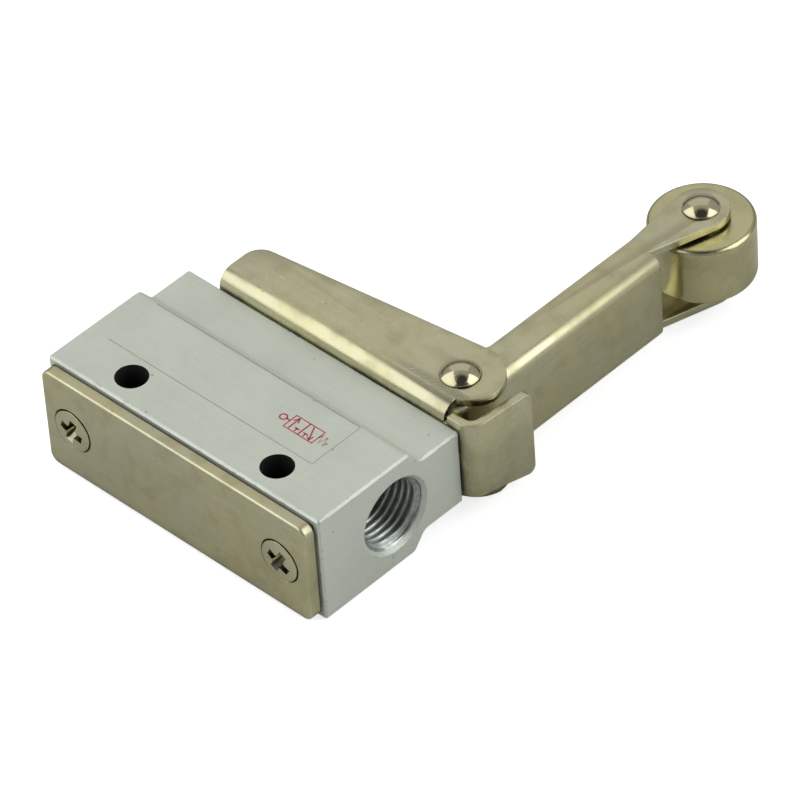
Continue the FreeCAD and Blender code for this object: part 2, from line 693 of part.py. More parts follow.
    pivot = circle(
        new_sketch(body, "pivot_holes", "XY_Plane", high), PIVOT_X, PIVOT_Y, "sizes.pivot_radius"
    )
    feature("Pocket", pivot, "pivot_pocket")
    mouth = "(sizes.pivot_radius + sizes.pivot_flush)"
    countersunk(body, "pivot_countersink", (PIVOT_X, PIVOT_Y, "0"), UPRIGHT, mouth, "sizes.pivot_radius")
    return body


def make_pivot_pin():
    """The pivot: a domed head on one flange, riveted flush into the other."""
    body = new_body("pivot_pin", (PIVOT_X, PIVOT_Y, "0"))
    pin, head, dome = "sizes.pivot_radius", "sizes.pivot_head_radius", "sizes.pivot_head_height"
    top = "sizes.body_height"
    round_over = f"(({head}^2 + {dome}^2) / (2 * {dome}))"
    turned(
        body, "pin",
        [
            ("0", "0"), (f"({pin} + sizes.pivot_flush)", "0"), (pin, "sizes.pivot_flush"),
            (pin, top), (head, top, round_over, LEFT_TURN), ("0", f"({top} + {dome})"),
        ],
    )
    return body


def make_lever():
    """The pressed bell crank: a channel whose back runs up the arm, round the toe and along the
    underside of the heel, with two bare cheeks that carry the roller."""
    body = new_body("lever", (PIVOT_X, PIVOT_Y, MIDDLE))
    back, free = "sizes.lever_back", "-sizes.lever_front"
    end = "sizes.lever_back_length"
    heel_x = f"(-{PIVOT_X} - sizes.heel_overhang)"
    heel_low = f"(-{FOOT} / cos{TURN} - {heel_x} * tan{TURN})"
    cheek_x = "(-sizes.pivot_height + sizes.sheet)"
    shoulder_y = "(sizes.pivot_height + sizes.lever_side_gap)"
    blank = new_sketch(body, "side_outline", "XY_Plane", f"-{LEVER_HALF}")
    outline(
        blank,
        [
            ("0", f"-{FOOT}"), (back, f"-{FOOT}"), (back, end), (free, end), (free, f"({shoulder_y} + 1)"),
            (cheek_x, "(sizes.pivot_height - 2 * sizes.sheet)"),
            (heel_x, f"({heel_low} + sizes.heel_depth)"), (heel_x, heel_low),
            (f"(-{FOOT} * sin{TURN})", f"(-{FOOT} * cos{TURN})", FOOT, LEFT_TURN),
        ],
    )
    item = feature("Pad", blank, "blank", f"(2 * {LEVER_HALF})")
    item = rounded(
        item, "side_corners", "sizes.lever_corner",
        along("z", x=heel_x, y=f"({heel_low} + sizes.heel_depth)"),
        along("z", x=cheek_x, y="(sizes.pivot_height - 2 * sizes.sheet)"),
        along("z", x=free, y=f"({shoulder_y} + 1)"),
    )
    item = rounded(item, "toe", "sizes.lever_toe", along("z", x=back, y=f"-{FOOT}"))
    spine_x = value(back) - SAME_PLACE
    under_y = value(heel_low) + SAME_PLACE
    edge_z = value(LEVER_HALF)

    def on_the_back(points):
        flat = all(abs(abs(point.z) - edge_z) < SAME_PLACE for point in points)
        return flat and (points[1].x > spine_x or points[1].y < under_y)

    item = rounded(item, "bends", "sizes.lever_bend", on_the_back)

    inner_foot = f"({FOOT} - sizes.sheet)"
    far_x = f"({heel_x} * 2)"
    hollow = new_sketch(body, "hollow_outline", "XY_Plane", LEVER_INNER)
    outline(
        hollow,
        [
            ("0", f"-{inner_foot}"), (f"({back} - sizes.sheet)", f"-{inner_foot}"),
            (f"({back} - sizes.sheet)", f"({end} + 1)"), (far_x, f"({end} + 1)"),
            (far_x, f"(-{inner_foot} / cos{TURN} - {far_x} * tan{TURN})"),
            (f"(-{inner_foot} * sin{TURN})", f"(-{inner_foot} * cos{TURN})", inner_foot, LEFT_TURN),
        ],
    )
    item = feature("Pocket", hollow, "hollow", f"(2 * {LEVER_INNER})")
    item = rounded(
        item, "inner_toe", "(sizes.lever_toe - sizes.sheet)",
        along("z", x=f"({back} - sizes.sheet)", y=f"-{inner_foot}"),
    )

    axis = ("sizes.arm_lean", "sizes.arm_length")
    outer = touch_point(("sizes.fork_neck", end), axis, "sizes.fork_radius", LEFT_TURN)
    inner = touch_point((free, end), axis, "sizes.fork_radius", RIGHT_TURN)
    crown = ("sizes.arm_lean", "(sizes.arm_length + sizes.fork_radius)")
    for name, level in (("upper", LEVER_INNER), ("lower", f"-{LEVER_HALF}")):
        tip = new_sketch(body, f"{name}_tip_outline", "XY_Plane", level)
        outline(
            tip,
            [
                (free, end), ("sizes.fork_neck", end),
                (outer[0], outer[1], "sizes.fork_radius", LEFT_TURN),
                (crown[0], crown[1], "sizes.fork_radius", LEFT_TURN), inner,
            ],
        )
        feature("Pad", tip, f"{name}_tip", "sizes.sheet")

    pivot = circle(
        new_sketch(body, "pivot_holes", "XY_Plane", LEVER_HALF),
        "0", "0", "(sizes.pivot_radius + sizes.running_gap)",
    )
    feature("Pocket", pivot, "pivot_pocket")
    roller = circle(
        new_sketch(body, "roller_pin_holes", "XY_Plane", LEVER_HALF),
        axis[0], axis[1], "sizes.roller_pin_radius",
    )
    feature("Pocket", roller, "roller_pin_pocket")
    return body


def make_roller_pin():
    """The roller's rivet, with a domed head on each side of the lever."""
    body = new_body("roller_pin", (ROLLER_X, ROLLER_Y, MIDDLE))
    pin, head, dome = "sizes.roller_pin_radius", "sizes.roller_head_radius", "sizes.roller_head_height"
    round_over = f"(({head}^2 + {dome}^2) / (2 * {dome}))"
    turned(
        body, "rivet",
        [
            ("0", f"(-{LEVER_HALF} - {dome})", round_over, LEFT_TURN), (head, f"-{LEVER_HALF}"),
            (pin, f"-{LEVER_HALF}"), (pin, LEVER_HALF), (head, LEVER_HALF, round_over, LEFT_TURN),
            ("0", f"({LEVER_HALF} + {dome})"),
        ],
    )
    return body


def make_roller():
    """The steel roller, with rounded rims."""
    body = new_body("roller", (ROLLER_X, ROLLER_Y, f"({MIDDLE} + sizes.roller_raise)"))
    bore = "(sizes.roller_pin_radius + sizes.running_gap)"
    rim, half = "sizes.roller_radius", "(sizes.roller_width / 2)"
    item = turned(
        body, "tyre", [(bore, f"-{half}"), (rim, f"-{half}"), (rim, half), (bore, half)]
    )
    rounded(
        item, "rims", "sizes.roller_edge",
        hole_rim({"x": "0", "y": "0"}, rim, z=half), hole_rim({"x": "0", "y": "0"}, rim, z=f"-{half}"),
    )
    return body


def make_roller_washer(label, sign):
    """A spacer washer between the roller and one cheek of the lever."""
    body = new_body(label, (ROLLER_X, ROLLER_Y, MIDDLE))
    near = "(sizes.roller_width / 2 + sizes.seat_gap)"
    hole = "sizes.roller_pin_radius"
    levels = (f"({sign}{near} + sizes.roller_raise)", f"{sign}{LEVER_INNER}")
    low, high = levels if sign == "" else levels[::-1]
    turned(
        body, "ring",
        [(hole, low), ("sizes.washer_radius", low), ("sizes.washer_radius", high), (hole, high)],
    )
    return body


def bore_place(station="0"):
    """The place of a piece on the valve bore's axis, at a station from the cover face."""
    return ("0", f"({FRONT} + {station})", MIDDLE)


def make_seal(label, station):
    """A seal ring, squeezed between the spool and the bore."""
    ring = doc.addObject("Part::Torus", label)
    middle = f"({station} + sizes.seal_thickness / 2)"
    section = f"({SEAL_BORE} / 2 - sizes.running_gap / 2)"
    ring.setExpression("Radius1", f"sizes.bore_radius - {section}")
    ring.setExpression("Radius2", section)
    place = bore_place(middle)
    ring.Placement = Placement(Vector(*(value(axis) for axis in place)), AROUND_BORE)
    for axis, expression in zip("xyz", place):
        ring.setExpression(f"Placement.Base.{axis}", expression)
    doc.recompute()
    return ring


def make_cage(label, station):
    """A flow cage: a grooved ring whose cross holes let air through between two seals."""
    body = new_body(label, bore_place(station), AROUND_BORE)
    outer = "(sizes.bore_radius - sizes.seat_gap)"
    inner = "(sizes.spool_radius + sizes.cage_gap)"
    floor = f"({inner} + sizes.cage_wall)"
    length = "sizes.cage_length"
    lower = f"(({length} - sizes.cage_groove) / 2)"
    upper = f"(({length} + sizes.cage_groove) / 2)"
    turned(
        body, "ring",
        [
            (inner, "0"), (outer, "0"), (outer, lower), (floor, lower),
            (floor, upper), (outer, upper), (outer, length), (inner, length),
        ],
    )
    hole = circle(
        new_sketch(body, "cross_hole", "XZ_Plane", outer), "0", f"({length} / 2)", "sizes.cage_hole"
    )
    item = feature("Pocket", hole, "cross_pocket", outer)
    around(body, item, "sizes.cage_holes")
    return body


def make_seal_retainer():
    """The sleeve that holds the seals and cages in, with a lip that stops the spool's collar."""
    body = new_body("seal_retainer", bore_place(), AROUND_BORE)
    outer = "(sizes.bore_radius - sizes.seat_gap)"
    room = "(sizes.bore_radius - sizes.retainer_wall)"
    lip = "(sizes.spool_radius + 3 * sizes.running_gap)"
    length = "sizes.retainer_length"
    turned(
        body, "sleeve",
        [
            (room, "0"), (outer, "0"), (outer, length), (lip, length),
            (lip, f"({length} - sizes.retainer_lip)"), (room, f"({length} - sizes.retainer_lip)"),
        ],
    )
    return body


def make_guide_bush():
    """The brass bush that guides the plunger; air leaves through the flutes in its bore."""
    body = new_body("guide_bush", bore_place(), AROUND_BORE)
    outer = "(sizes.bore_radius - sizes.seat_gap)"
    slide = "(sizes.spool_radius + sizes.running_gap)"
    room = "sizes.flute_reach"
    start, end = BUSH_START, "sizes.body_width"
    step = f"({start} + sizes.bush_relief)"
    turned(
        body, "bush",
        [(room, start), (outer, start), (outer, end), (slide, end), (slide, step), (room, step)],
    )
    half = "(sizes.flute_width / 2)"
    flute = new_sketch(body, "flute_outline", "XY_Plane", end)
    near = "(sizes.spool_radius / 2)"
    outline(flute, [(near, f"-{half}"), (room, f"-{half}"), (room, half), (near, half)])
    item = feature("Pocket", flute, "flute", f"({end} - {step} + sizes.bush_relief / 2)")
    around(body, item, "sizes.flutes")
    return body


def make_spool():
    """The spool: a collar, two lands with a neck between them, and a well for the spring."""
    body = new_body("spool", bore_place(), AROUND_BORE)
    land, neck, collar = "sizes.spool_radius", "sizes.spool_neck", "sizes.collar_radius"
    well = "(sizes.spring_radius + sizes.spring_wire + 2 * sizes.seat_gap)"
    collar_start = f"({COLLAR_END} - sizes.collar_thickness)"
    well_end = f"({collar_start} + sizes.spring_well)"
    spigot_end = f"({SPOOL_END} - sizes.spigot_length - sizes.seat_gap)"
    turned(
        body, "spool",
        [
            (well, collar_start), (collar, collar_start), (collar, COLLAR_END), (land, COLLAR_END),
            (land, NECK_START), (neck, NECK_START), (neck, NECK_END), (land, NECK_END),
            (land, SPOOL_END), ("sizes.spigot_radius", SPOOL_END), ("sizes.spigot_radius", spigot_end),
            ("0", spigot_end), ("0", well_end), (well, well_end),
        ],
    )
    return body


def make_plunger():
    """The hardened plunger that the lever's heel presses, pressed into the spool's end."""
    body = new_body("plunger", bore_place(), AROUND_BORE)
    stem, dome, top = "sizes.spool_radius", "sizes.dome_radius", PLUNGER_TOP
    crown = f"({top} - {dome} + sqrt({dome}^2 - {stem}^2))"
    turned(
        body, "plunger",
        [
            ("0", f"({SPOOL_END} - sizes.spigot_length)"),
            ("sizes.spigot_radius", f"({SPOOL_END} - sizes.spigot_length)"),
            ("sizes.spigot_radius", SPOOL_END), (stem, SPOOL_END),
            (stem, crown, dome, LEFT_TURN), ("0", top),
        ],
    )
    return body


def make_return_spring():
    """The return spring, from the cover plate to the bottom of the spool's well."""
    body = new_body("return_spring", bore_place(COVER_FACE), AROUND_BORE)
    wire = "sizes.spring_wire"
    collar_start = f"({COLLAR_END} - sizes.collar_thickness)"
    room = f"({collar_start} + sizes.spring_well - {COVER_FACE})"
    section = new_sketch(body, "wire_section", "XZ_Plane")
    circle(section, "sizes.spring_radius", f"({wire} + sizes.seat_gap)", wire)
    coil = body.newObject("PartDesign::AdditiveHelix", "return_spring_coil")
    coil.Profile = section
    coil.ReferenceAxis = (section, ["V_Axis"])
    coil.Mode = "pitch-height-angle"
    coil.setExpression("Pitch", "sizes.spring_pitch")
    coil.setExpression("Height", f"({room} - 2 * {wire} - 2 * sizes.seat_gap)")
    doc.recompute()
    return body


pieces = [
    make_valve_body(),
    make_cover_gasket(),
    make_cover_plate(),
    make_cover_screw("cover_screw_left", "-"),
    make_cover_screw("cover_screw_right", ""),
    make_bracket(),
    make_bracket_screw("bracket_screw_left", "-"),
    make_bracket_screw("bracket_screw_right", ""),
    make_pivot_pin(),
    make_guide_bush(),
    make_seal("front_seal", FRONT_SEAL),
    make_cage("inlet_cage", INLET_CAGE),
    make_seal("middle_seal", MIDDLE_SEAL),
    make_cage("outlet_cage", OUTLET_CAGE),
    make_seal("rear_seal", REAR_SEAL),
    make_seal_retainer(),
    make_lever(),
    make_roller_pin(),
    make_roller(),
    make_roller_washer("roller_washer_upper", ""),
    make_roller_washer("roller_washer_lower", "-"),
    make_spool(),
    make_plunger(),
    make_return_spring(),
]
doc.recompute()

for item in doc.Objects:
    if "Invalid" in item.State or "Error" in item.State:
        raise RuntimeError(f"{item.Name} failed: {item.State}")
for piece in pieces:
    if piece.Shape.isNull() or not piece.Shape.isValid():
        raise RuntimeError(f"{piece.Label} has no valid shape")

os.makedirs("parts", exist_ok=True)
for piece in pieces:
    piece.Shape.exportStep(f"parts/{piece.Label}.step")
travel = value(
    f"{PIVOT_X} * tan{TURN} - ({FOOT} + sizes.dome_radius) * (1 / cos{TURN} - 1)"
)
print(f"{len(pieces)} pieces, plunger travel {travel:.4f} mm")
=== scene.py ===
"""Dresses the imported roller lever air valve: its finishes, threads, screws, rivets, print and stage."""
import json
import math

import bmesh
import bpy
from mathutils import Matrix, Vector


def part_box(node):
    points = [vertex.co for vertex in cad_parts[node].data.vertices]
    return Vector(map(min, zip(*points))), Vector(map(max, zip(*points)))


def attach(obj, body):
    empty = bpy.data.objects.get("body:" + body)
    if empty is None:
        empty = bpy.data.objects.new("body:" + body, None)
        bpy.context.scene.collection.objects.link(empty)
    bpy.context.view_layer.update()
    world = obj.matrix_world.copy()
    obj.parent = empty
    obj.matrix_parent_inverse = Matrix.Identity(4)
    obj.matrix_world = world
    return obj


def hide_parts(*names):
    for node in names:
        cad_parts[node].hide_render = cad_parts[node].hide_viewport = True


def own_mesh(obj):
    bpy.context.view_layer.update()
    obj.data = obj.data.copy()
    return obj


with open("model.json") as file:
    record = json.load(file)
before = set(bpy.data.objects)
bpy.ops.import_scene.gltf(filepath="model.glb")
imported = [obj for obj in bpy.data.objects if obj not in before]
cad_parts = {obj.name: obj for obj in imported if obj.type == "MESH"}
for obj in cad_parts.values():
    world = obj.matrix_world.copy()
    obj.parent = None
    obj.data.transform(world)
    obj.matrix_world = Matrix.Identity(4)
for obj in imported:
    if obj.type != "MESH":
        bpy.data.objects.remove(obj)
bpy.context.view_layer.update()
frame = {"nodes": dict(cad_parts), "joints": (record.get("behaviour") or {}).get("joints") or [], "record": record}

bl_info = {
    "name": "Roller lever air valve",
    "version": (1, 0, 0),
    "blender": (4, 5, 0),
    "location": "3D View > Sidebar > Air valve",
    "description": "Finishes, threads, fasteners, print and stage of the packed roller lever air valve",
    "category": "Object",
}

MM = 0.001
TURN = 2 * math.pi
MOUNTS = {mount["name"]: mount for mount in frame["record"]["mounts"]}
JOINTS = {joint["name"]: joint for joint in frame["joints"]}
BLOCK_LOW, BLOCK_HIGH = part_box("valve_body")
PIVOT = Vector(JOINTS["lever_pivot"]["pos_m"])
ROLLER_CENTRE = Vector(JOINTS["roller_spin"]["pos_m"])
BORE_CENTRE = Vector((0, 0, (BLOCK_LOW.z + BLOCK_HIGH.z) / 2))
HAIR = 0.02 * MM
PRESSED_EDGE = 0.13 * MM

# Tones of marks and wear, and of painted shade
BORE_SHADE = (0.04, 0.042, 0.036)
EXTRUSION_LINE = (0.40, 0.42, 0.41)
NICK = (0.22, 0.23, 0.22)
CHIP = (0.20, 0.21, 0.18)
PIT = (0.12, 0.11, 0.08)
CREVICE_SHADE = (0.15, 0.14, 0.105)
RECESS_SHADE = (0.05, 0.045, 0.03)
DULL_WIRE = (0.27, 0.265, 0.25)
DRY_INK = (0.52, 0.55, 0.52)
DULL_THREAD = (0.34, 0.36, 0.33)
FLOOR_PATCH = (0.88, 0.88, 0.87)
WHITE = (1.0, 1.0, 1.0, 1.0)

# The valve symbol in units of one square, from the lower left corner
SYMBOL = (
    ((0, 0), (2, 0), (2, 1), (0, 1), (0, 0)),
    ((1, 0), (1, 1)),
    ((0.3, 0.06), (0.3, 0.94)),
    ((0.14, 0.62), (0.3, 0.94), (0.46, 0.62)),
    ((0.7, 0.06), (0.7, 0.30)),
    ((0.54, 0.30), (0.86, 0.30)),
    ((1.3, 0.94), (1.74, 0.06)),
    ((1.50, 0.22), (1.74, 0.06), (1.756, 0.38)),
    ((1.3, 0.06), (1.3, 0.30)),
    ((1.14, 0.30), (1.46, 0.30)),
    ((2, 0.5), (2.1, 0.8), (2.25, 0.2), (2.4, 0.8), (2.55, 0.2), (2.65, 0.5)),
)
SYMBOL_WHEEL = (-0.46, 0.5, 0.2)
SYMBOL_STEM = ((-0.26, 0.5), (0, 0.5))

# The camera looks at this place, and the soft lights stand round it
AIM = Vector((11.88, 31.38, 10.5)) * MM
CAMERA_PLACE = Vector((612.8, -537.05, 764.4)) * MM
OVERHEAD = (0.293, -0.277, 0.914)

# Name, direction from the valve, distance, size, power and tint
SOFTBOXES = (
    ("left_softbox", (-0.54, -0.62, 0.57), 0.62, (0.80, 0.80), 2.55, (0.93, 0.97, 1.0)),
    ("right_softbox", (0.70, 0.50, 0.54), 0.66, (0.50, 0.70), 2.05, (0.92, 0.97, 1.0)),
    ("back_softbox", (-0.537, 0.508, 0.674), 0.80, (0.80, 0.60), 0.42, (1.0, 1.0, 1.0)),
)


def number(name, description, default, **limits):
    """A plain number that a user may change."""
    return bpy.props.FloatProperty(name=name, description=description, default=default, **limits)


def length(name, description, default):
    """A size that a user may change, in scene units."""
    return number(name, description, default, unit="LENGTH", precision=5)


def share(name, description, default):
    """A factor from nought to one."""
    return number(name, description, default, min=0, max=1, subtype="FACTOR")


def angle(name, description, degrees):
    """An angle that a user may change."""
    return number(name, description, math.radians(degrees), subtype="ANGLE")


def colour(name, description, default):
    """A linear colour that a user may change."""
    return bpy.props.FloatVectorProperty(
        name=name, description=description, default=default, size=3, min=0, max=1, subtype="COLOR"
    )


class ThreadSizes(bpy.types.PropertyGroup):
    """The quarter-inch pipe thread in each port and the metric threads of the screws."""

    port_pitch: length("Port pitch", "One turn of the port thread", 25.4 / 19 * MM)
    port_depth: length("Port thread depth", "From the crest bore to the thread's ridge", 0.856 * MM)
    port_chamfer: length("Port chamfer", "Depth of the plain chamfer before the thread", 0.6 * MM)
    screw_pitch: length("Screw pitch", "One turn of a screw thread", 0.7 * MM)
    screw_depth: length("Screw thread depth", "Height of a screw's thread", 0.3 * MM)


class ScrewSizes(bpy.types.PropertyGroup):
    """The cross-recessed screws."""

    cover_shaft: length("Cover shaft", "Radius of a cover screw's shaft", 2.0 * MM)
    bracket_shaft: length("Bracket shaft", "Radius of a bracket screw's shaft", 1.5 * MM)
    left_turn: angle("Left turn", "How far the left screws are turned", 72)
    right_turn: angle("Right turn", "How far the right screws are turned", 60)
    rim_gap: length("Rim gap", "Gap between a raised head's rim and its countersink", 0.2 * MM)
    recess_arm: share("Recess arm", "Half length of the recess over the head's radius", 0.62)
    recess_width: share("Recess width", "Half width of the recess over the head's radius", 0.19)
    recess_taper: share("Recess taper", "Half length at the bottom over half length at the mouth", 0.34)
    recess_depth: share("Recess depth", "Depth of the recess over the head's radius", 0.56)


class RivetSizes(bpy.types.PropertyGroup):
    """The pivot pin and the roller's rivet."""

    pivot_shank: length("Pivot shank", "Radius of the pivot pin", 2.5 * MM)
    pivot_head: length("Pivot head", "Radius of the pivot pin's domed head", 3.3 * MM)
    roller_shank: length("Roller shank", "Radius of the roller's rivet", 2.0 * MM)
    rim: length("Rim", "Height of the upright rim under the dome", 0.3 * MM)
    bead: length("Bead", "Size of the slope above and below the rim", 0.08 * MM)
    land: length("Land", "Width of the ledge between rim and dome", 0.06 * MM)
    setting_ring: length("Setting ring", "Depth of the ring that the riveting tool leaves", 0.12 * MM)


class PrintSizes(bpy.types.PropertyGroup):
    """The printed frame line and the plain pneumatic symbol on the block's upper side."""

    line_width: length("Frame line", "Width of the grey frame line", 0.18 * MM)
    left: length("Left edge", "Frame line from the middle between the holes", -25.3 * MM)
    right: length("Right edge", "Frame line from the middle between the holes", 19.9 * MM)
    front: length("Front edge", "Frame line from the middle between the holes", 3.9 * MM)
    rear: length("Rear edge", "Frame line from the middle between the holes", 14.9 * MM)
    symbol_line: length("Symbol line", "Width of the symbol's strokes", 0.27 * MM)
    symbol_box: length("Symbol box", "Side of one square of the symbol", 3.1 * MM)
    symbol_left: length("Symbol from the left", "Left side of the squares from between the holes", 10.3 * MM)
    symbol_front: length("Symbol from the front", "Lower side of the squares from the holes", 7.3 * MM)


class SpringSizes(bpy.types.PropertyGroup):
    """The return spring."""

    wire: length("Wire", "Radius of the spring's wire", 0.3 * MM)
    coils: bpy.props.IntProperty(
        name="Coils", description="All coils of the return spring", default=10, min=4
    )
    closed_coils: number("Closed coils", "Coils that lie together at each end", 1.25, min=0)


class Finishes(bpy.types.PropertyGroup):
    """Colours of the finishes."""

    block: colour("Block", "Blasted and anodised aluminium", (0.71, 0.735, 0.635))
    block_worn: colour("Block edges", "Bare aluminium on edges and in scratches", (0.86, 0.88, 0.87))
    nickel: colour("Nickel", "Plated sheet", (0.565, 0.522, 0.295))
    nickel_grey: colour("Grey nickel", "Greyer patches of the plating", (0.56, 0.53, 0.35))
    nickel_worn: colour("Nickel edges", "Rubbed edges of the plating", (0.90, 0.885, 0.80))
    polished: colour("Rivets", "Polished rivet heads", (0.54, 0.505, 0.335))
    thread: colour("Thread", "Cut aluminium", (0.47, 0.50, 0.455))
    brass: colour("Brass", "Guide bush", (0.78, 0.58, 0.27))
    steel: colour("Steel", "Hardened and spring steel", (0.50, 0.50, 0.50))
    rubber: colour("Rubber", "Seals", (0.018, 0.018, 0.018))
    gasket: colour("Gasket", "Oily cork gasket", (0.045, 0.038, 0.022))
    frame_line: colour("Frame line", "Grey print", (0.34, 0.37, 0.345))
    symbol: colour("Symbol", "Red print", (0.50, 0.018, 0.04))


class StageSizes(bpy.types.PropertyGroup):
    """The camera, the floor and the lights."""

    lens: number("Lens", "Focal length in millimetres", 315.9, min=1)
    roll: angle("Roll", "Turn of the camera about its line of sight", -4.384)
    floor: colour("Floor", "Pale floor", (0.68, 0.68, 0.67))
    floor_glow: number("Floor glow", "Light that the floor sends to the camera only", 0.72, min=0)
    floor_size: length("Floor size", "Side of the floor", 6.0)
    surround: number("Surround", "Brightness of the room round the stage", 0.46, min=0)
    shade: number("Shade", "Brightness of the room behind the camera and along its foot", 0.06, min=0)


class ValveSettings(bpy.types.PropertyGroup):
    """All sizes and colours of the dressed valve."""

    threads: bpy.props.PointerProperty(type=ThreadSizes)
    screws: bpy.props.PointerProperty(type=ScrewSizes)
    rivets: bpy.props.PointerProperty(type=RivetSizes)
    print_lines: bpy.props.PointerProperty(type=PrintSizes)
    spring: bpy.props.PointerProperty(type=SpringSizes)
    finishes: bpy.props.PointerProperty(type=Finishes)
    stage: bpy.props.PointerProperty(type=StageSizes)


# Node trees

def plug(tree, value, socket):
    """Links another node's output to an input, or sets the input to a plain value."""
    value = value.socket if isinstance(value, Value) else value
    if isinstance(value, bpy.types.NodeSocket):
        tree.links.new(value, socket)
    else:
        socket.default_value = value


def add(tree, kind, inputs=None, **settings):
    """A node with its settings made and its inputs linked or set."""
    node = tree.nodes.new(kind)
    for name, value in settings.items():
        setattr(node, name, value)
    for name, value in (inputs or {}).items():
        plug(tree, value, node.inputs[name])
    return node


def math_node(tree, operation, *values, clamp=False):
    """The result of a Math node."""
    node = add(tree, "ShaderNodeMath", dict(enumerate(values)), operation=operation, use_clamp=clamp)
    return Value(tree, node.outputs[0])


def measure(tree, operation, *vectors):
    """A number worked out from vectors."""
    node = add(tree, "ShaderNodeVectorMath", dict(enumerate(vectors)), operation=operation)
    return Value(tree, node.outputs["Value"])


def seen_by_camera(tree):
    """One for rays from the camera and nought for all others."""
    return Value(tree, add(tree, "ShaderNodeLightPath").outputs["Is Camera Ray"])


class Value:
    """A value inside a node tree: a sum of such values is written as a sum and becomes Math nodes."""

    def __init__(self, tree, socket):
        self.tree, self.socket = tree, socket

    def by(self, operation, *others):
        """The result of a Math node that has this value first."""
        return math_node(self.tree, operation, self, *others)

    def __add__(self, other):
        return self.by("ADD", other)

    def __sub__(self, other):
        return self.by("SUBTRACT", other)

    def __rsub__(self, other):
        return math_node(self.tree, "SUBTRACT", other, self)

    def __mul__(self, other):
        return self.by("MULTIPLY", other)

    def __truediv__(self, other):
        return self.by("DIVIDE", other)


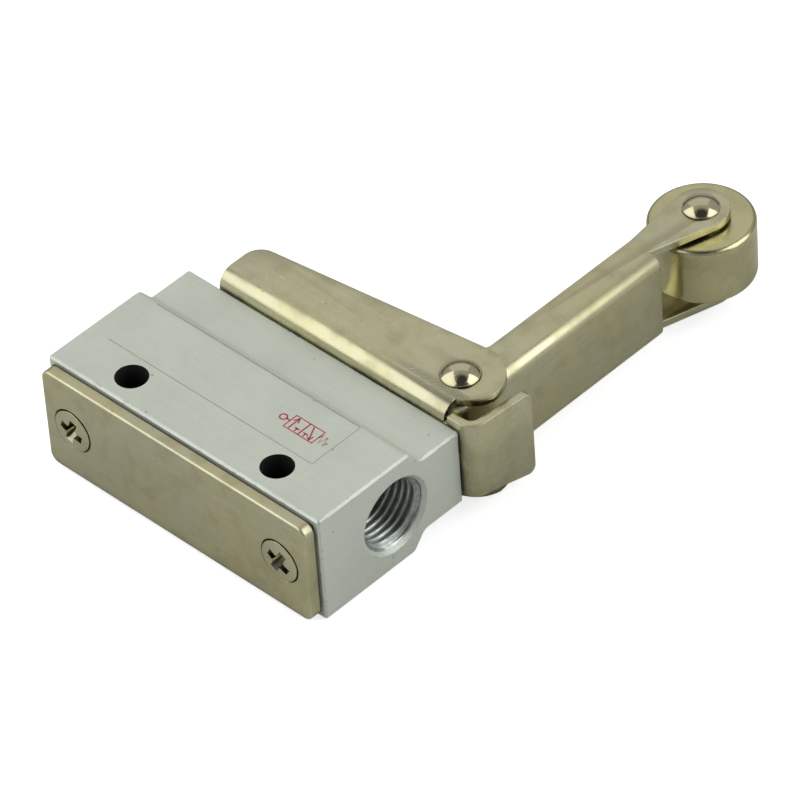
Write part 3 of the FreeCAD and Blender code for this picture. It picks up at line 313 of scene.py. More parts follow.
class Finish:
    """A node material in the making: a Principled shader, its tone and the patterns that feed it.

    The scale of a pattern is in repeats per metre.
    """

    def __init__(self, name, metallic=1.0):
        self.material = bpy.data.materials.new(name)
        self.material.use_nodes = True
        self.tree = self.material.node_tree
        self.shader = self.tree.nodes["Principled BSDF"]
        self.shader.inputs["Metallic"].default_value = metallic
        self.coordinates = add(self.tree, "ShaderNodeTexCoord").outputs["Object"]
        self.tone = self.height = None

    def pattern(self, output, kind, inputs, **settings):
        """One output of a texture node as a value."""
        return Value(self.tree, add(self.tree, kind, inputs, **settings).outputs[output])

    def point(self, centre=(0, 0, 0), stretch=(1, 1, 1), turn=(0, 0, 0)):
        """Object coordinates from a centre, turned and then stretched."""
        place = self.coordinates
        moves = {"Location": [-part for part in centre], "Rotation": turn, "Scale": stretch}
        for label, value in moves.items():
            place = add(self.tree, "ShaderNodeMapping", {"Vector": place, label: value}).outputs[0]
        return place

    def noise(self, point, scale, detail=3.0, roughness=0.5, distortion=0.0):
        """A cloudy pattern from nought to one."""
        return self.pattern("Fac", "ShaderNodeTexNoise", {
            "Vector": point, "Scale": scale, "Detail": detail,
            "Roughness": roughness, "Distortion": distortion,
        })

    def ripples(self, point, scale, axis, kind, distortion):
        """Even RINGS or BANDS round or along an axis."""
        inputs = {"Vector": point, "Scale": scale, "Distortion": distortion, "Detail": 1.0}
        direction = {f"{kind.lower()}_direction": axis}
        return self.pattern("Fac", "ShaderNodeTexWave", inputs, wave_type=kind, **direction)

    def between(self, value, low, high, start=0.0, end=1.0):
        """A value's range stretched to another range, with soft ends."""
        return self.pattern(
            0, "ShaderNodeMapRange",
            {"Value": value, "From Min": low, "From Max": high, "To Min": start, "To Max": end},
            interpolation_type="SMOOTHSTEP",
        )

    def mix(self, factor, first, second, mode="MIX"):
        """A blend of two colours."""
        node = add(self.tree, "ShaderNodeMix", data_type="RGBA", blend_type=mode, clamp_factor=True)
        for index, value in ((0, factor), (6, first), (7, second)):
            if index and not isinstance(value, bpy.types.NodeSocket):
                value = (*value, 1.0)
            plug(self.tree, value, node.inputs[index])
        return node.outputs[2]

    def tint(self, mask, tone, mode="MIX"):
        """Lays a colour over the finish's tone where a mask is high."""
        self.tone = self.mix(mask, self.tone, tone, mode)

    def rounded(self, reach):
        """The surface's direction with its edges rounded off within a reach."""
        return add(self.tree, "ShaderNodeBevel", {"Radius": reach}, samples=4).outputs[0]

    def edges(self, reach, low, high):
        """A mask of the convex and concave edges within a reach."""
        soft = self.rounded(reach)
        sharp = add(self.tree, "ShaderNodeNewGeometry").outputs["Normal"]
        return self.between(1.0 - measure(self.tree, "DOT_PRODUCT", soft, sharp), low, high)

    def hidden(self, reach, low, high):
        """A mask of corners and recesses that little light gets into."""
        open_sky = self.pattern("AO", "ShaderNodeAmbientOcclusion", {"Distance": reach}, samples=6)
        return self.between(open_sky, low, high)

    def specks(self, point, scale, size, patch_scale, patch):
        """Round specks inside patches; each pair says where its pattern starts and where it is full."""
        inputs = {"Vector": point, "Scale": scale}
        cells = self.pattern("Distance", "ShaderNodeTexVoronoi", inputs, feature="F1")
        patches = self.noise(point, patch_scale, detail=1.0)
        return self.between(cells, *size) * self.between(patches, *patch)

    def scratches(self, seeds, scale, thinness, spread):
        """Fine straight scratches that lie in several directions and fade in and out."""
        total = None
        for index, turn in enumerate(seeds):
            point = self.point(turn=(turn * 0.7, turn * 1.3, turn), stretch=(scale * 0.03, scale, scale))
            line = self.noise(point, 1.0, detail=0.0)
            thin = self.between((line - 0.5).by("ABSOLUTE"), thinness, 0.0)
            patch = self.noise(self.point(centre=(index * 0.013, index * 0.007, 0)), spread, detail=1.0)
            part = thin * self.between(patch, 0.52, 0.66)
            total = part if total is None else total.by("MAXIMUM", part)
        return total

    def in_bores(self, bores):
        """A mask of upright bores, each given as its middle and radius."""
        total = 0.0
        for middle, radius in bores:
            flat = self.point(centre=(middle.x, middle.y, 0), stretch=(1, 1, 0))
            inside = measure(self.tree, "LENGTH", flat).by("LESS_THAN", radius + HAIR)
            total = inside.by("MAXIMUM", total)
        return total

    def relief(self, *heights):
        """The bump of the surface, from patterns and their heights in millimetres."""
        for pattern, height in heights:
            step = pattern * height
            self.height = step if self.height is None else self.height + step

    def done(self, roughness, soft=None):
        """The material, with its tone, roughness and bump linked and its edges softened within a reach."""
        normal = self.rounded(soft) if soft else None
        if self.height is not None:
            bump = {"Height": self.height, "Distance": MM, "Strength": 1.0}
            if normal is not None:
                bump["Normal"] = normal
            normal = add(self.tree, "ShaderNodeBump", bump).outputs[0]
        for label, value in (("Base Color", self.tone), ("Roughness", roughness), ("Normal", normal)):
            if value is not None:
                plug(self.tree, value, self.shader.inputs[label])
        return self.material


def scaled(tone, factor):
    """A colour made darker or lighter."""
    return [value * factor for value in tone]


def blasted_aluminium(finishes, bores):
    """The block: blasted grain, faint lines along the extrusion, worn and chipped edges, painted shade in the
    bores.
    """
    finish = Finish("blasted aluminium", metallic=0.50)
    plain = finish.point()
    grain = finish.noise(plain, 3600.0, detail=2.0, roughness=0.7)
    coarse = finish.noise(plain, 1150.0, detail=2.0)
    clouds = finish.noise(plain, 85.0, detail=4.0, roughness=0.6)
    lines = finish.noise(finish.point(stretch=(14.0, 1600.0, 1600.0)), 1.0, detail=2.0)
    nicks = finish.specks(plain, 420.0, (0.16, 0.04), 190.0, (0.55, 0.65))
    marks = finish.scratches((0.4, 1.9, 2.7), 1500.0, 0.012, 110.0)
    rim = finish.edges(0.36 * MM, 0.006, 0.07)
    worn = rim * finish.between(coarse, 0.44, 0.58, 0.08, 1.0)
    chips = rim * finish.between(finish.noise(plain, 640.0, detail=2.0), 0.55, 0.63)
    cloudy = finish.between(clouds, 0.35, 0.68, 0.0, 0.45)
    finish.tone = finish.mix(cloudy, finishes.block, scaled(finishes.block, 0.88))
    finish.tint(finish.between(grain, 0.34, 0.66, 0.0, 0.30), finishes.block_worn, "MULTIPLY")
    finish.tint(finish.between(lines, 0.40, 0.62, 0.0, 0.05), EXTRUSION_LINE)
    finish.tint(marks * 0.40, finishes.block_worn)
    finish.tint(nicks * 0.50, NICK)
    finish.tint(worn * 0.60, finishes.block_worn)
    finish.tint(chips * 0.65, CHIP)
    # Painted shade: the insides of the two mounting bores are coloured near black
    finish.tint(finish.in_bores(bores), BORE_SHADE)
    finish.relief(
        (grain, 0.012), (coarse, 0.010), (lines, 0.001), (marks, -0.012), (nicks, -0.03), (chips, -0.03)
    )
    return finish.done(finish.between(clouds, 0.3, 0.7, 0.48, 0.58))


def nickel_sheet(finishes, name, stretch, rough, rub=0.45, dull=0.0, shade_level=0.5, soft=0.14 * MM):
    """Plated sheet: mottled warm tint, rolling lines, scratches, edges rubbed bright or dull, painted shade in
    crevices.
    """
    finish = Finish(name)
    plain = finish.point()
    patches = finish.noise(plain, 62.0, detail=5.0, roughness=0.62, distortion=0.6)
    clouds = finish.noise(finish.point(centre=(0.05, 0.02, 0.01)), 240.0)
    rolling = finish.noise(finish.point(stretch=stretch), 1.0)
    peel = finish.noise(plain, 520.0, detail=1.0)
    marks = finish.scratches((0.2, 1.1, 2.2, 2.9), 1900.0, 0.010, 150.0)
    pits = finish.specks(plain, 560.0, (0.13, 0.03), 130.0, (0.56, 0.66))
    worn = finish.edges(0.22 * MM, 0.05, 0.30)
    # Painted shade: patchy darkening where ambient occlusion finds corners, crevices and nearby parts
    crevice_shade = finish.hidden(2.2 * MM, shade_level, shade_level - 0.4) * finish.between(clouds, 0.36, 0.62, 0.55, 1.0)
    mottled = finish.between(patches, 0.36, 0.64, 0.0, 0.8)
    finish.tone = finish.mix(mottled, finishes.nickel_grey, finishes.nickel)
    finish.tint(finish.between(clouds, 0.46, 0.74, 0.0, 0.52), scaled(finishes.nickel, 0.74))
    finish.tint(finish.between(rolling, 0.42, 0.66, 0.0, 0.06), finishes.nickel_worn)
    finish.tint(marks * 0.45, finishes.nickel_worn)
    finish.tint(pits * 0.60, PIT)
    finish.tint(worn * rub, finishes.nickel_worn)
    finish.tint(crevice_shade, CREVICE_SHADE)
    finish.relief((peel, 0.0016), (patches, 0.020), (rolling, 0.0003), (marks, -0.004), (pits, -0.02))
    uneven = finish.between(patches + clouds, 0.75, 1.25, *rough)
    return finish.done(uneven + marks * 0.12 + worn * dull, soft)


def polished_nickel(finishes, name, base, rough, shadow):
    """Rivets and screw heads: bright plating with hair scratches, dull marks and painted shade in recesses."""
    finish = Finish(name)
    clouds = finish.noise(finish.point(), 700.0)
    marks = finish.scratches((0.6, 1.7, 2.5), 4200.0, 0.014, 520.0)
    worn = finish.edges(0.12 * MM, 0.06, 0.35)
    finish.tone = finish.mix(finish.between(clouds, 0.40, 0.70, 0.0, 0.7), base, finishes.nickel)
    # Painted shade: darker in the cross recesses and where the heads meet the parts round them
    finish.tint(finish.hidden(shadow, 0.80, 0.40), RECESS_SHADE)
    finish.tint(marks * 0.4, finishes.nickel_worn)
    finish.tint(worn * 0.25, finishes.nickel_worn)
    finish.relief((clouds, 0.0016), (marks, -0.003))
    return finish.done(finish.between(clouds, 0.35, 0.7, *rough) + marks * 0.1, 0.06 * MM)


def turned_metal(finishes, name, base, centre, axis="Z", pitch=0.18 * MM, rough=(0.2, 0.34)):
    """A piece off the lathe: fine rings on its faces and feed lines along its sides."""
    finish = Finish(name)
    local = finish.point(centre=centre)
    scale = 1 / pitch / TURN
    rings = finish.ripples(local, scale, axis, "RINGS", 0.6)
    feed = finish.ripples(local, scale, axis, "BANDS", 0.4)
    clouds = finish.noise(local, 170.0, detail=4.0, roughness=0.6, distortion=0.4)
    marks = finish.scratches((0.9, 2.1), 2200.0, 0.010, 190.0)
    worn = finish.edges(0.2 * MM, 0.05, 0.3)
    darker = scaled(base, 0.80)
    finish.tone = finish.mix(finish.between(clouds, 0.38, 0.66, 0.0, 0.75), base, darker)
    finish.tint(rings * feed * 0.10, darker)
    finish.tint(marks * 0.4, finishes.nickel_worn)
    finish.tint(worn * 0.6, finishes.nickel_worn)
    finish.relief((rings, 0.0012), (feed, 0.0008), (marks, -0.004))
    return finish.done(finish.between(clouds, 0.35, 0.7, *rough))


def moulded_rubber(base, name, gloss):
    """Seals and gasket: dark, with a fine moulded grain and dusty patches."""
    finish = Finish(name, metallic=0.0)
    plain = finish.point()
    grain = finish.noise(plain, 2600.0)
    dust = finish.noise(plain, 230.0, detail=4.0)
    finish.tone = finish.mix(finish.between(dust, 0.48, 0.72, 0.0, 0.6), base, scaled(base, 3))
    finish.relief((grain, 0.006))
    return finish.done(finish.between(grain, 0.3, 0.7, gloss, gloss + 0.2))


def drawn_wire(finishes, name):
    """Spring wire: grey drawn steel with short dull marks."""
    finish = Finish(name)
    clouds = finish.noise(finish.point(), 900.0)
    lines = finish.noise(finish.point(stretch=(300.0, 4200.0, 300.0)), 1.0, detail=1.0)
    finish.tone = finish.mix(finish.between(clouds, 0.4, 0.7), finishes.steel, DULL_WIRE)
    finish.relief((lines, 0.002))
    return finish.done(finish.between(lines, 0.3, 0.7, 0.22, 0.42))


def cut_thread(finishes, name):
    """The ports' threads: freshly cut aluminium with dull swirls."""
    finish = Finish(name)
    swirl = finish.noise(finish.point(), 900.0)
    finish.tone = finish.mix(finish.between(swirl, 0.38, 0.7), finishes.thread, DULL_THREAD)
    finish.relief((swirl, 0.003))
    return finish.done(finish.between(swirl, 0.3, 0.7, 0.30, 0.44))


def printed_ink(name, base, fade):
    """Screen-printed ink: slightly uneven cover and a dry edge."""
    finish = Finish(name, metallic=0.0)
    cover = finish.noise(finish.point(), 2400.0, roughness=0.7)
    finish.tone = finish.mix(finish.between(cover, 0.40, 0.72, 0.0, fade), base, DRY_INK)
    finish.relief((cover, 0.004))
    return finish.done(finish.between(cover, 0.3, 0.7, 0.45, 0.65))


# Meshes

def shade(mesh, degrees):
    """Smooth faces with sharp edges past an angle."""
    mesh.polygons.foreach_set("use_smooth", [True] * len(mesh.polygons))
    mesh.set_sharp_from_angle(angle=math.radians(degrees))
    mesh.update()


def placed(name, data):
    """A new object in the scene."""
    item = bpy.data.objects.new(name, data)
    bpy.context.scene.collection.objects.link(item)
    return item


def piece_from(name, mesh, body, slot, *nodes):
    """A finished piece in the scene, on a body, in place of CAD nodes where some are named."""
    piece = placed(name, mesh)
    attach(piece, body)
    if nodes:
        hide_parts(*nodes)
    return piece


def plain_mesh(source, name, outward=True):
    """The evaluated mesh of a scratch object, which is removed."""
    evaluated = source.evaluated_get(bpy.context.evaluated_depsgraph_get())
    mesh = bpy.data.meshes.new_from_object(evaluated)
    mesh.name = name
    old = source.data
    bpy.data.objects.remove(source)
    (bpy.data.meshes if isinstance(old, bpy.types.Mesh) else bpy.data.curves).remove(old)
    if outward:
        shell = bmesh.new()
        shell.from_mesh(mesh)
        bmesh.ops.remove_doubles(shell, verts=shell.verts, dist=0.001 * MM)
        bmesh.ops.dissolve_degenerate(shell, edges=shell.edges, dist=0.0005 * MM)
        bmesh.ops.recalc_face_normals(shell, faces=shell.faces)
        shell.to_mesh(mesh)
        shell.free()
    return mesh


def grown(tree, name, values, source=None):
    """The plain mesh that a Geometry Nodes tree makes with these inputs."""
    holder = placed(name, source or bpy.data.meshes.new(name))
    modifier = holder.modifiers.new(name, "NODES")
    modifier.node_group = tree
    for item in tree.interface.items_tree:
        if item.name in values:
            modifier[item.identifier] = values[item.name]
    return plain_mesh(holder, name)


def outward_mesh(shell, name):
    """A mesh with its faces turned outward, from a shell that is then freed."""
    bmesh.ops.recalc_face_normals(shell, faces=shell.faces)
    mesh = bpy.data.meshes.new(name)
    shell.to_mesh(mesh)
    shell.free()
    return mesh


def lathe(name, profile, segments=96):
    """A closed turned mesh about Z from (radius, height) points, from the bottom to the top."""
    shell = bmesh.new()
    rings = []
    for radius, height in profile:
        if radius <= 0:
            rings.append([shell.verts.new((0, 0, height))])
            continue
        ring = []
        for step in range(segments):
            turn = TURN * step / segments
            ring.append(shell.verts.new((radius * math.cos(turn), radius * math.sin(turn), height)))
        rings.append(ring)
    for lower, upper in zip(rings, rings[1:]):
        for step in range(segments):
            after = (step + 1) % segments
            if len(lower) == 1:
                shell.faces.new((lower[0], upper[step], upper[after]))
            elif len(upper) == 1:
                shell.faces.new((lower[step], lower[after], upper[0]))
            else:
                shell.faces.new((lower[step], lower[after], upper[after], upper[step]))
    return outward_mesh(shell, name)


def dome(rim, base, rise, steps=12):
    """Points of a spherical cap from its rim to its crown."""
    radius = (rim * rim + rise * rise) / (2 * rise)
    widest = math.asin(min(1.0, rim / radius))
    points = []
    for step in range(steps):
        lean = widest * (1 - step / steps)
        points.append((radius * math.sin(lean), base + rise - radius * (1 - math.cos(lean))))
    return [*points, (0, base + rise)]


def facing(direction, origin):
    """The matrix that turns Z to a direction and moves to a place."""
    turn = Vector((0, 0, 1)).rotation_difference(Vector(direction))
    return Matrix.Translation(origin) @ turn.to_matrix().to_4x4()


def joined(name, *meshes):
    """Several meshes as one, each with its own material kept."""
    result = bmesh.new()
    mesh = bpy.data.meshes.new(name)
    for part in meshes:
        start, offset = len(result.faces), len(mesh.materials)
        result.from_mesh(part)
        result.faces.ensure_lookup_table()
        for face in result.faces[start:]:
            face.material_index += offset
        for material in part.materials:
            mesh.materials.append(material)
    result.to_mesh(mesh)
    result.free()
    return mesh


# Geometry Nodes

def node_tree(name, numbers, counts=()):
    """An empty Geometry Nodes tree, its inputs as values by name, and its output node."""
    tree = bpy.data.node_groups.new(name, "GeometryNodeTree")
    tree.interface.new_socket("Geometry", in_out="OUTPUT", socket_type="NodeSocketGeometry")
    kinds = {
        "Geometry": "Geometry", **dict.fromkeys(numbers, "Float"), **dict.fromkeys(counts, "Int"),
        "Material": "Material",
    }
    for label, kind in kinds.items():
        tree.interface.new_socket(label, in_out="INPUT", socket_type=f"NodeSocket{kind}")
    given = tree.nodes.new("NodeGroupInput")
    values = {label: Value(tree, given.outputs[label]) for label in kinds}
    return tree, values, tree.nodes.new("NodeGroupOutput")


def close_tree(tree, geometry, material, target):
    """The end of every tree: plain geometry with its material."""
    real = add(tree, "GeometryNodeRealizeInstances", {"Geometry": geometry}).outputs[0]
    painted = add(tree, "GeometryNodeSetMaterial", {"Geometry": real, "Material": material}).outputs[0]
    tree.links.new(painted, target.inputs["Geometry"])


def round_axis(tree, radius, turn, height):
    """A place from its radius, its turn about Z and its height."""
    return add(tree, "ShaderNodeCombineXYZ", {
        "X": radius * turn.by("COSINE"), "Y": radius * turn.by("SINE"), "Z": height,
    }).outputs[0]


def swept(tree, path, section):
    """A section carried along a path, with closed ends."""
    inputs = {"Curve": path, "Profile Curve": section, "Fill Caps": True}
    return add(tree, "GeometryNodeCurveToMesh", inputs).outputs[0]


def thread_tree():
    """A thread as a closed sleeve: a ribbon wound into a ridge, and the plain wall behind it."""
    tree, value, result = node_tree(
        "screw thread", ("Wall Radius", "Depth", "Skin", "Pitch", "Length", "Outward"),
        ("Turns", "Segments", "Profile Steps"),
    )
    run = value["Length"]
    grid = add(tree, "GeometryNodeMeshGrid", {
        "Size X": 1.0, "Size Y": 1.0,
        "Vertices X": value["Turns"] * value["Segments"] + 1.0, "Vertices Y": value["Profile Steps"] + 1.0,
    }).outputs["Mesh"]
    spot = add(tree, "GeometryNodeInputPosition").outputs[0]
    place = add(tree, "ShaderNodeSeparateXYZ", {0: spot}).outputs
    turn = (Value(tree, place["X"]) + 0.5) * value["Turns"]
    step = Value(tree, place["Y"]) + 0.5
    station = ((turn + step - 1.0) * value["Pitch"]).by("MAXIMUM", 0.0).by("MINIMUM", run)

    # The ridge has a flat crest and straight flanks, and it dies away at both ends of the run
    off_crest = (step * 2.0 - 1.0).by("ABSOLUTE")
    ridge = math_node(tree, "SUBTRACT", 1.15, off_crest * 1.3, clamp=True)
    height = value["Skin"] + value["Depth"] * ridge
    height = height.by("MINIMUM", station).by("MINIMUM", run - station)
    radius = value["Wall Radius"] + height * value["Outward"]
    wound = round_axis(tree, radius, turn * TURN, station)
    ribbon = add(tree, "GeometryNodeSetPosition", {"Geometry": grid, "Position": wound}).outputs[0]
    wall = add(
        tree, "GeometryNodeMeshCylinder",
        {"Vertices": value["Segments"], "Radius": value["Wall Radius"], "Depth": run}, fill_type="NONE",
    ).outputs["Mesh"]
    middle = add(tree, "ShaderNodeCombineXYZ", {"Z": run * 0.5}).outputs[0]
    wall = add(tree, "GeometryNodeTransform", {"Geometry": wall, "Translation": middle}).outputs[0]
    both = tree.nodes.new("GeometryNodeJoinGeometry")
    for part in (ribbon, wall):
        tree.links.new(part, both.inputs[0])
    merged = add(tree, "GeometryNodeMergeByDistance", {"Geometry": both.outputs[0], "Distance": 0.001 * MM})
    close_tree(tree, merged.outputs[0], value["Material"], result)
    return tree


def spring_tree():
    """A coil spring with closed ends, as a wire swept along its coils."""
    tree, value, result = node_tree(
        "coil spring", ("Radius", "Wire Radius", "Length", "Coils", "Closed Coils"), ("Steps",)
    )
    wire, ends = value["Wire Radius"] * 2.0, value["Closed Coils"]
    line = add(tree, "GeometryNodeMeshLine", {"Count": value["Steps"]}, mode="OFFSET").outputs["Mesh"]
    index = Value(tree, add(tree, "GeometryNodeInputIndex").outputs[0])
    coil = index * value["Coils"] / (value["Steps"] - 1.0)
    free = value["Coils"] - ends * 2.0
    opened = (coil - ends).by("MINIMUM", free).by("MAXIMUM", 0.0)
    pitch = (value["Length"] - wire * (ends * 2.0 + 1.0)) / free
    rise = (coil - opened) * wire + opened * pitch
    place = round_axis(tree, value["Radius"], coil * TURN, rise + value["Wire Radius"])
    coils = add(tree, "GeometryNodeSetPosition", {"Geometry": line, "Position": place}).outputs[0]
    path = add(tree, "GeometryNodeMeshToCurve", {"Mesh": coils}).outputs[0]
    round_wire = {"Resolution": 14, "Radius": value["Wire Radius"]}
    section = add(tree, "GeometryNodeCurvePrimitiveCircle", round_wire).outputs[0]
    close_tree(tree, swept(tree, path, section), value["Material"], result)
    return tree


def stroke_tree():
    """Printed strokes: a flat ribbon of ink along each line of a flat drawing."""
    tree, value, result = node_tree("printed strokes", ("Width", "Thickness"))
    ribbon = {"Width": value["Width"], "Height": value["Thickness"]}
    section = add(tree, "GeometryNodeCurvePrimitiveQuadrilateral", ribbon).outputs[0]
    drawing = {"Curve": value["Geometry"]}
    flat = add(tree, "GeometryNodeSetCurveNormal", drawing, mode="Z_UP").outputs[0]
    close_tree(tree, swept(tree, flat, section), value["Material"], result)
    return tree


# Helpers of the operators

def paint(material, *nodes):
    """Gives CAD nodes a material."""
    for name in nodes:
        node = frame["nodes"][name]
        if not node.material_slots:
            node.data.materials.append(material)
        for slot in node.material_slots:
            slot.link = "OBJECT"
            slot.material = material


def printed(name, lines, width, ink):
    """A printed drawing on the block: each line is a list of places, closed where it ends as it began."""
    drawing = bpy.data.curves.new(name, "CURVE")
    drawing.dimensions = "3D"
    for line in lines:
        looped = line[0] == line[-1]
        points = line[:-1] if looped else line
        spline = drawing.splines.new("POLY")
        spline.points.add(len(points) - 1)
        for point, (across, up) in zip(spline.points, points):
            point.co = (across, up, BLOCK_HIGH.z + HAIR * 0.3, 1)
        spline.use_cyclic_u = looped
    tree = bpy.data.node_groups.get("printed strokes") or stroke_tree()
    mesh = grown(tree, name, {"Width": width, "Thickness": HAIR, "Material": ink}, drawing)
    piece_from(name, mesh, "valve", "anodised_block")


def screw_mesh(name, settings, head, shaft, shank, raised, material):
    """A countersunk screw with a cross recess and a real thread, its face at height nought."""
    sizes, threads = settings.screws, settings.threads
    pitch = threads.screw_pitch
    rim = head - (sizes.rim_gap if raised else 0.0)
    root = shaft - threads.screw_depth
    neck = -(rim - shaft)
    point = 0.6 * pitch
    rim_break, lip = 0.04 * MM, 0.10 * MM
    profile = [
        (0, -shank), (root - point / 2, -shank), (root, -shank + point), (root, neck - pitch),
        (shaft, neck - pitch / 2), (shaft, neck), (rim - rim_break, -rim_break),
    ]
    if raised:
        profile += [(rim, rim_break / 2), *dome(rim - 0.03 * MM, lip, raised - lip)]
    else:
        profile += [(rim, 0.0), (0, 0.0)]
    solid = placed(name, lathe(name, profile))
    cutter_mesh = cross_mesh(
        sizes.recess_arm * head, sizes.recess_width * head, raised + lip, -sizes.recess_depth * head,
        sizes.recess_taper,
    )
    cutter = placed("recess", cutter_mesh)
    cut = solid.modifiers.new("recess", "BOOLEAN")
    cut.operation, cut.solver, cut.object = "DIFFERENCE", "EXACT", cutter
    body = plain_mesh(solid, name)
    bpy.data.objects.remove(cutter)
    bpy.data.meshes.remove(cutter_mesh)
    body.materials.clear()
    body.materials.append(material)
    tree = bpy.data.node_groups.get("screw thread") or thread_tree()
    run = shank + neck - pitch * 0.7 - point * 0.5
    thread = grown(tree, f"{name}_thread", {
        "Wall Radius": root, "Depth": threads.screw_depth - HAIR / 2, "Skin": HAIR / 2, "Pitch": pitch,
        "Length": run, "Turns": math.ceil(run / pitch) + 2, "Segments": 36, "Profile Steps": 6,
        "Outward": 1.0, "Material": material,
    })
    thread.transform(Matrix.Translation((0, 0, -shank + point * 0.5)))
    mesh = joined(name, body, thread)
    shade(mesh, 30.0)
    return mesh


def cross_mesh(long, wide, top, bottom, taper):
    """A cross that narrows to its bottom, with a pointed end, to cut a driver recess."""
    shell = bmesh.new()
    loops = []
    for scale, narrow, level in ((1.0, 1.0, top), (taper, 0.75, bottom)):
        arm, half = long * scale, wide * narrow
        heel = half * 1.4
        corners = [
            (arm, -half), (arm, half), (heel, half), (half, heel), (half, arm), (-half, arm), (-half, heel),
            (-heel, half), (-arm, half), (-arm, -half), (-heel, -half), (-half, -heel), (-half, -arm),
            (half, -arm), (half, -heel), (heel, -half),
        ]
        loops.append([shell.verts.new((x, y, level)) for x, y in corners])
    tip = shell.verts.new((0, 0, bottom - wide))
    upper, lower = loops
    shell.faces.new(upper)
    for step in range(len(upper)):
        after = (step + 1) % len(upper)
        shell.faces.new((upper[step], upper[after], lower[after], lower[step]))
        shell.faces.new((lower[step], lower[after], tip))
    return outward_mesh(shell, "recess")


def rivet_head(sizes, rim, base, rise):
    """Points of a domed rivet head with an upright rim and a narrow ledge."""
    bead, top = sizes.bead, base + sizes.rim
    return [
        (rim - bead, base), (rim, base + bead), (rim, top - bead), (rim - bead, top),
        *dome(rim - sizes.land - bead, top, rise - sizes.rim, 16),
    ]


def rivet(name, profile, centre, body, node, metal):
    """A turned rivet in place of a CAD pin."""
    mesh = lathe(name, profile)
    mesh.transform(Matrix.Translation((centre.x, centre.y, 0)))
    mesh.materials.append(metal)
    shade(mesh, 35.0)
    piece_from(name, mesh, body, "polished_rivet", node)


def pressed(finishes, node, body, stretch, rough, shade_level):
    """A nickel-plated copy of a pressed CAD node, with its sharp edges rounded, in the node's place."""
    name = f"pressed_{node}"
    metal = nickel_sheet(finishes, f"nickel {node}", stretch, rough, shade_level=shade_level)
    mesh = frame["nodes"][node].data.copy()
    shell = bmesh.new()
    shell.from_mesh(mesh)
    bmesh.ops.remove_doubles(shell, verts=shell.verts, dist=0.002 * MM)
    bmesh.ops.dissolve_limit(shell, angle_limit=math.radians(0.2), verts=shell.verts, edges=shell.edges)
    shell.to_mesh(mesh)
    shell.free()
    mesh.materials.clear()
    mesh.materials.append(metal)
    copy = placed(name, mesh)
    bevel = copy.modifiers.new("edges", "BEVEL")
    bevel.width = PRESSED_EDGE
    bevel.segments = 2
    bevel.limit_method = "ANGLE"
    bevel.angle_limit = math.radians(40)
    bevel.use_clamp_overlap = True
    rounded = plain_mesh(copy, name, outward=False)
    shade(rounded, 32.0)
    piece_from(name, rounded, body, "plated_sheet", node)


# Operators

class ValvePiece:
    """What every operator of this file shares."""

    bl_options = {"REGISTER", "UNDO"}


class AIRVALVE_OT_block(ValvePiece, bpy.types.Operator):
    """Finish the block as blasted and anodised aluminium"""

    bl_idname = "air_valve.block"
    bl_label = "Block"

    def execute(self, context):
        mount = MOUNTS["mounting_holes"]
        apart, radius = mount["dims"]["spacing_x_mm"] * MM, mount["dims"]["hole_r_mm"] * MM
        middle = Vector(mount["pos_m"])
        bores = [(middle + Vector((side * apart / 2, 0, 0)), radius) for side in (-1, 1)]
        paint(blasted_aluminium(context.scene.air_valve.finishes, bores), "valve_body")
        return {"FINISHED"}


class AIRVALVE_OT_print(ValvePiece, bpy.types.Operator):
    """Print the grey frame line and the plain symbol of a three-port valve on the block"""

    bl_idname = "air_valve.print"
    bl_label = "Printed lines"

    def execute(self, context):
        settings = context.scene.air_valve
        sizes, finishes = settings.print_lines, settings.finishes
        line = [
            (sizes.left, sizes.front), (sizes.right, sizes.front), (sizes.right, sizes.rear),
            (sizes.left, sizes.rear),
        ]
        printed("printed_frame", [line], sizes.line_width, printed_ink("grey ink", finishes.frame_line, 0.75))
        across, up, radius = SYMBOL_WHEEL
        turns = (TURN * step / 24 for step in range(24))
        wheel = [(across + radius * math.cos(turn), up + radius * math.sin(turn)) for turn in turns]
        wheel.append(wheel[0])
        left, low, side = sizes.symbol_left, sizes.symbol_front, sizes.symbol_box
        lines = [
            [(left + x * side, low + y * side) for x, y in line] for line in (*SYMBOL, wheel, SYMBOL_STEM)
        ]
        printed("printed_symbol", lines, sizes.symbol_line, printed_ink("red ink", finishes.symbol, 0.16))
        return {"FINISHED"}


class AIRVALVE_OT_port_threads(ValvePiece, bpy.types.Operator):
    """Cut a quarter-inch pipe thread into both ports"""

    bl_idname = "air_valve.port_threads"
    bl_label = "Port threads"

    def execute(self, context):
        settings = context.scene.air_valve
        sizes = settings.threads
        metal = cut_thread(settings.finishes, "cut thread")
        tree = bpy.data.node_groups.get("screw thread") or thread_tree()
        for name in ("outlet_port", "inlet_port"):
            mount = MOUNTS[name]
            outward, mouth = Vector(mount["axis"]), Vector(mount["pos_m"])
            mouth.x = BLOCK_HIGH.x if outward.x > 0 else BLOCK_LOW.x
            run = mount["dims"]["length_mm"] * MM - sizes.port_chamfer
            mesh = grown(tree, f"{name}_thread", {
                "Wall Radius": mount["dims"]["r_mm"] * MM + HAIR, "Depth": sizes.port_depth,
                "Skin": HAIR * 1.5, "Pitch": sizes.port_pitch, "Length": run,
                "Turns": math.ceil(run / sizes.port_pitch) + 2, "Segments": 96, "Profile Steps": 12,
                "Outward": -1.0, "Material": metal,
            })
            mesh.transform(facing(-outward, mouth - outward * sizes.port_chamfer))
            shade(mesh, 40.0)
            piece_from(f"{name}_thread", mesh, "valve", "anodised_block")
        return {"FINISHED"}


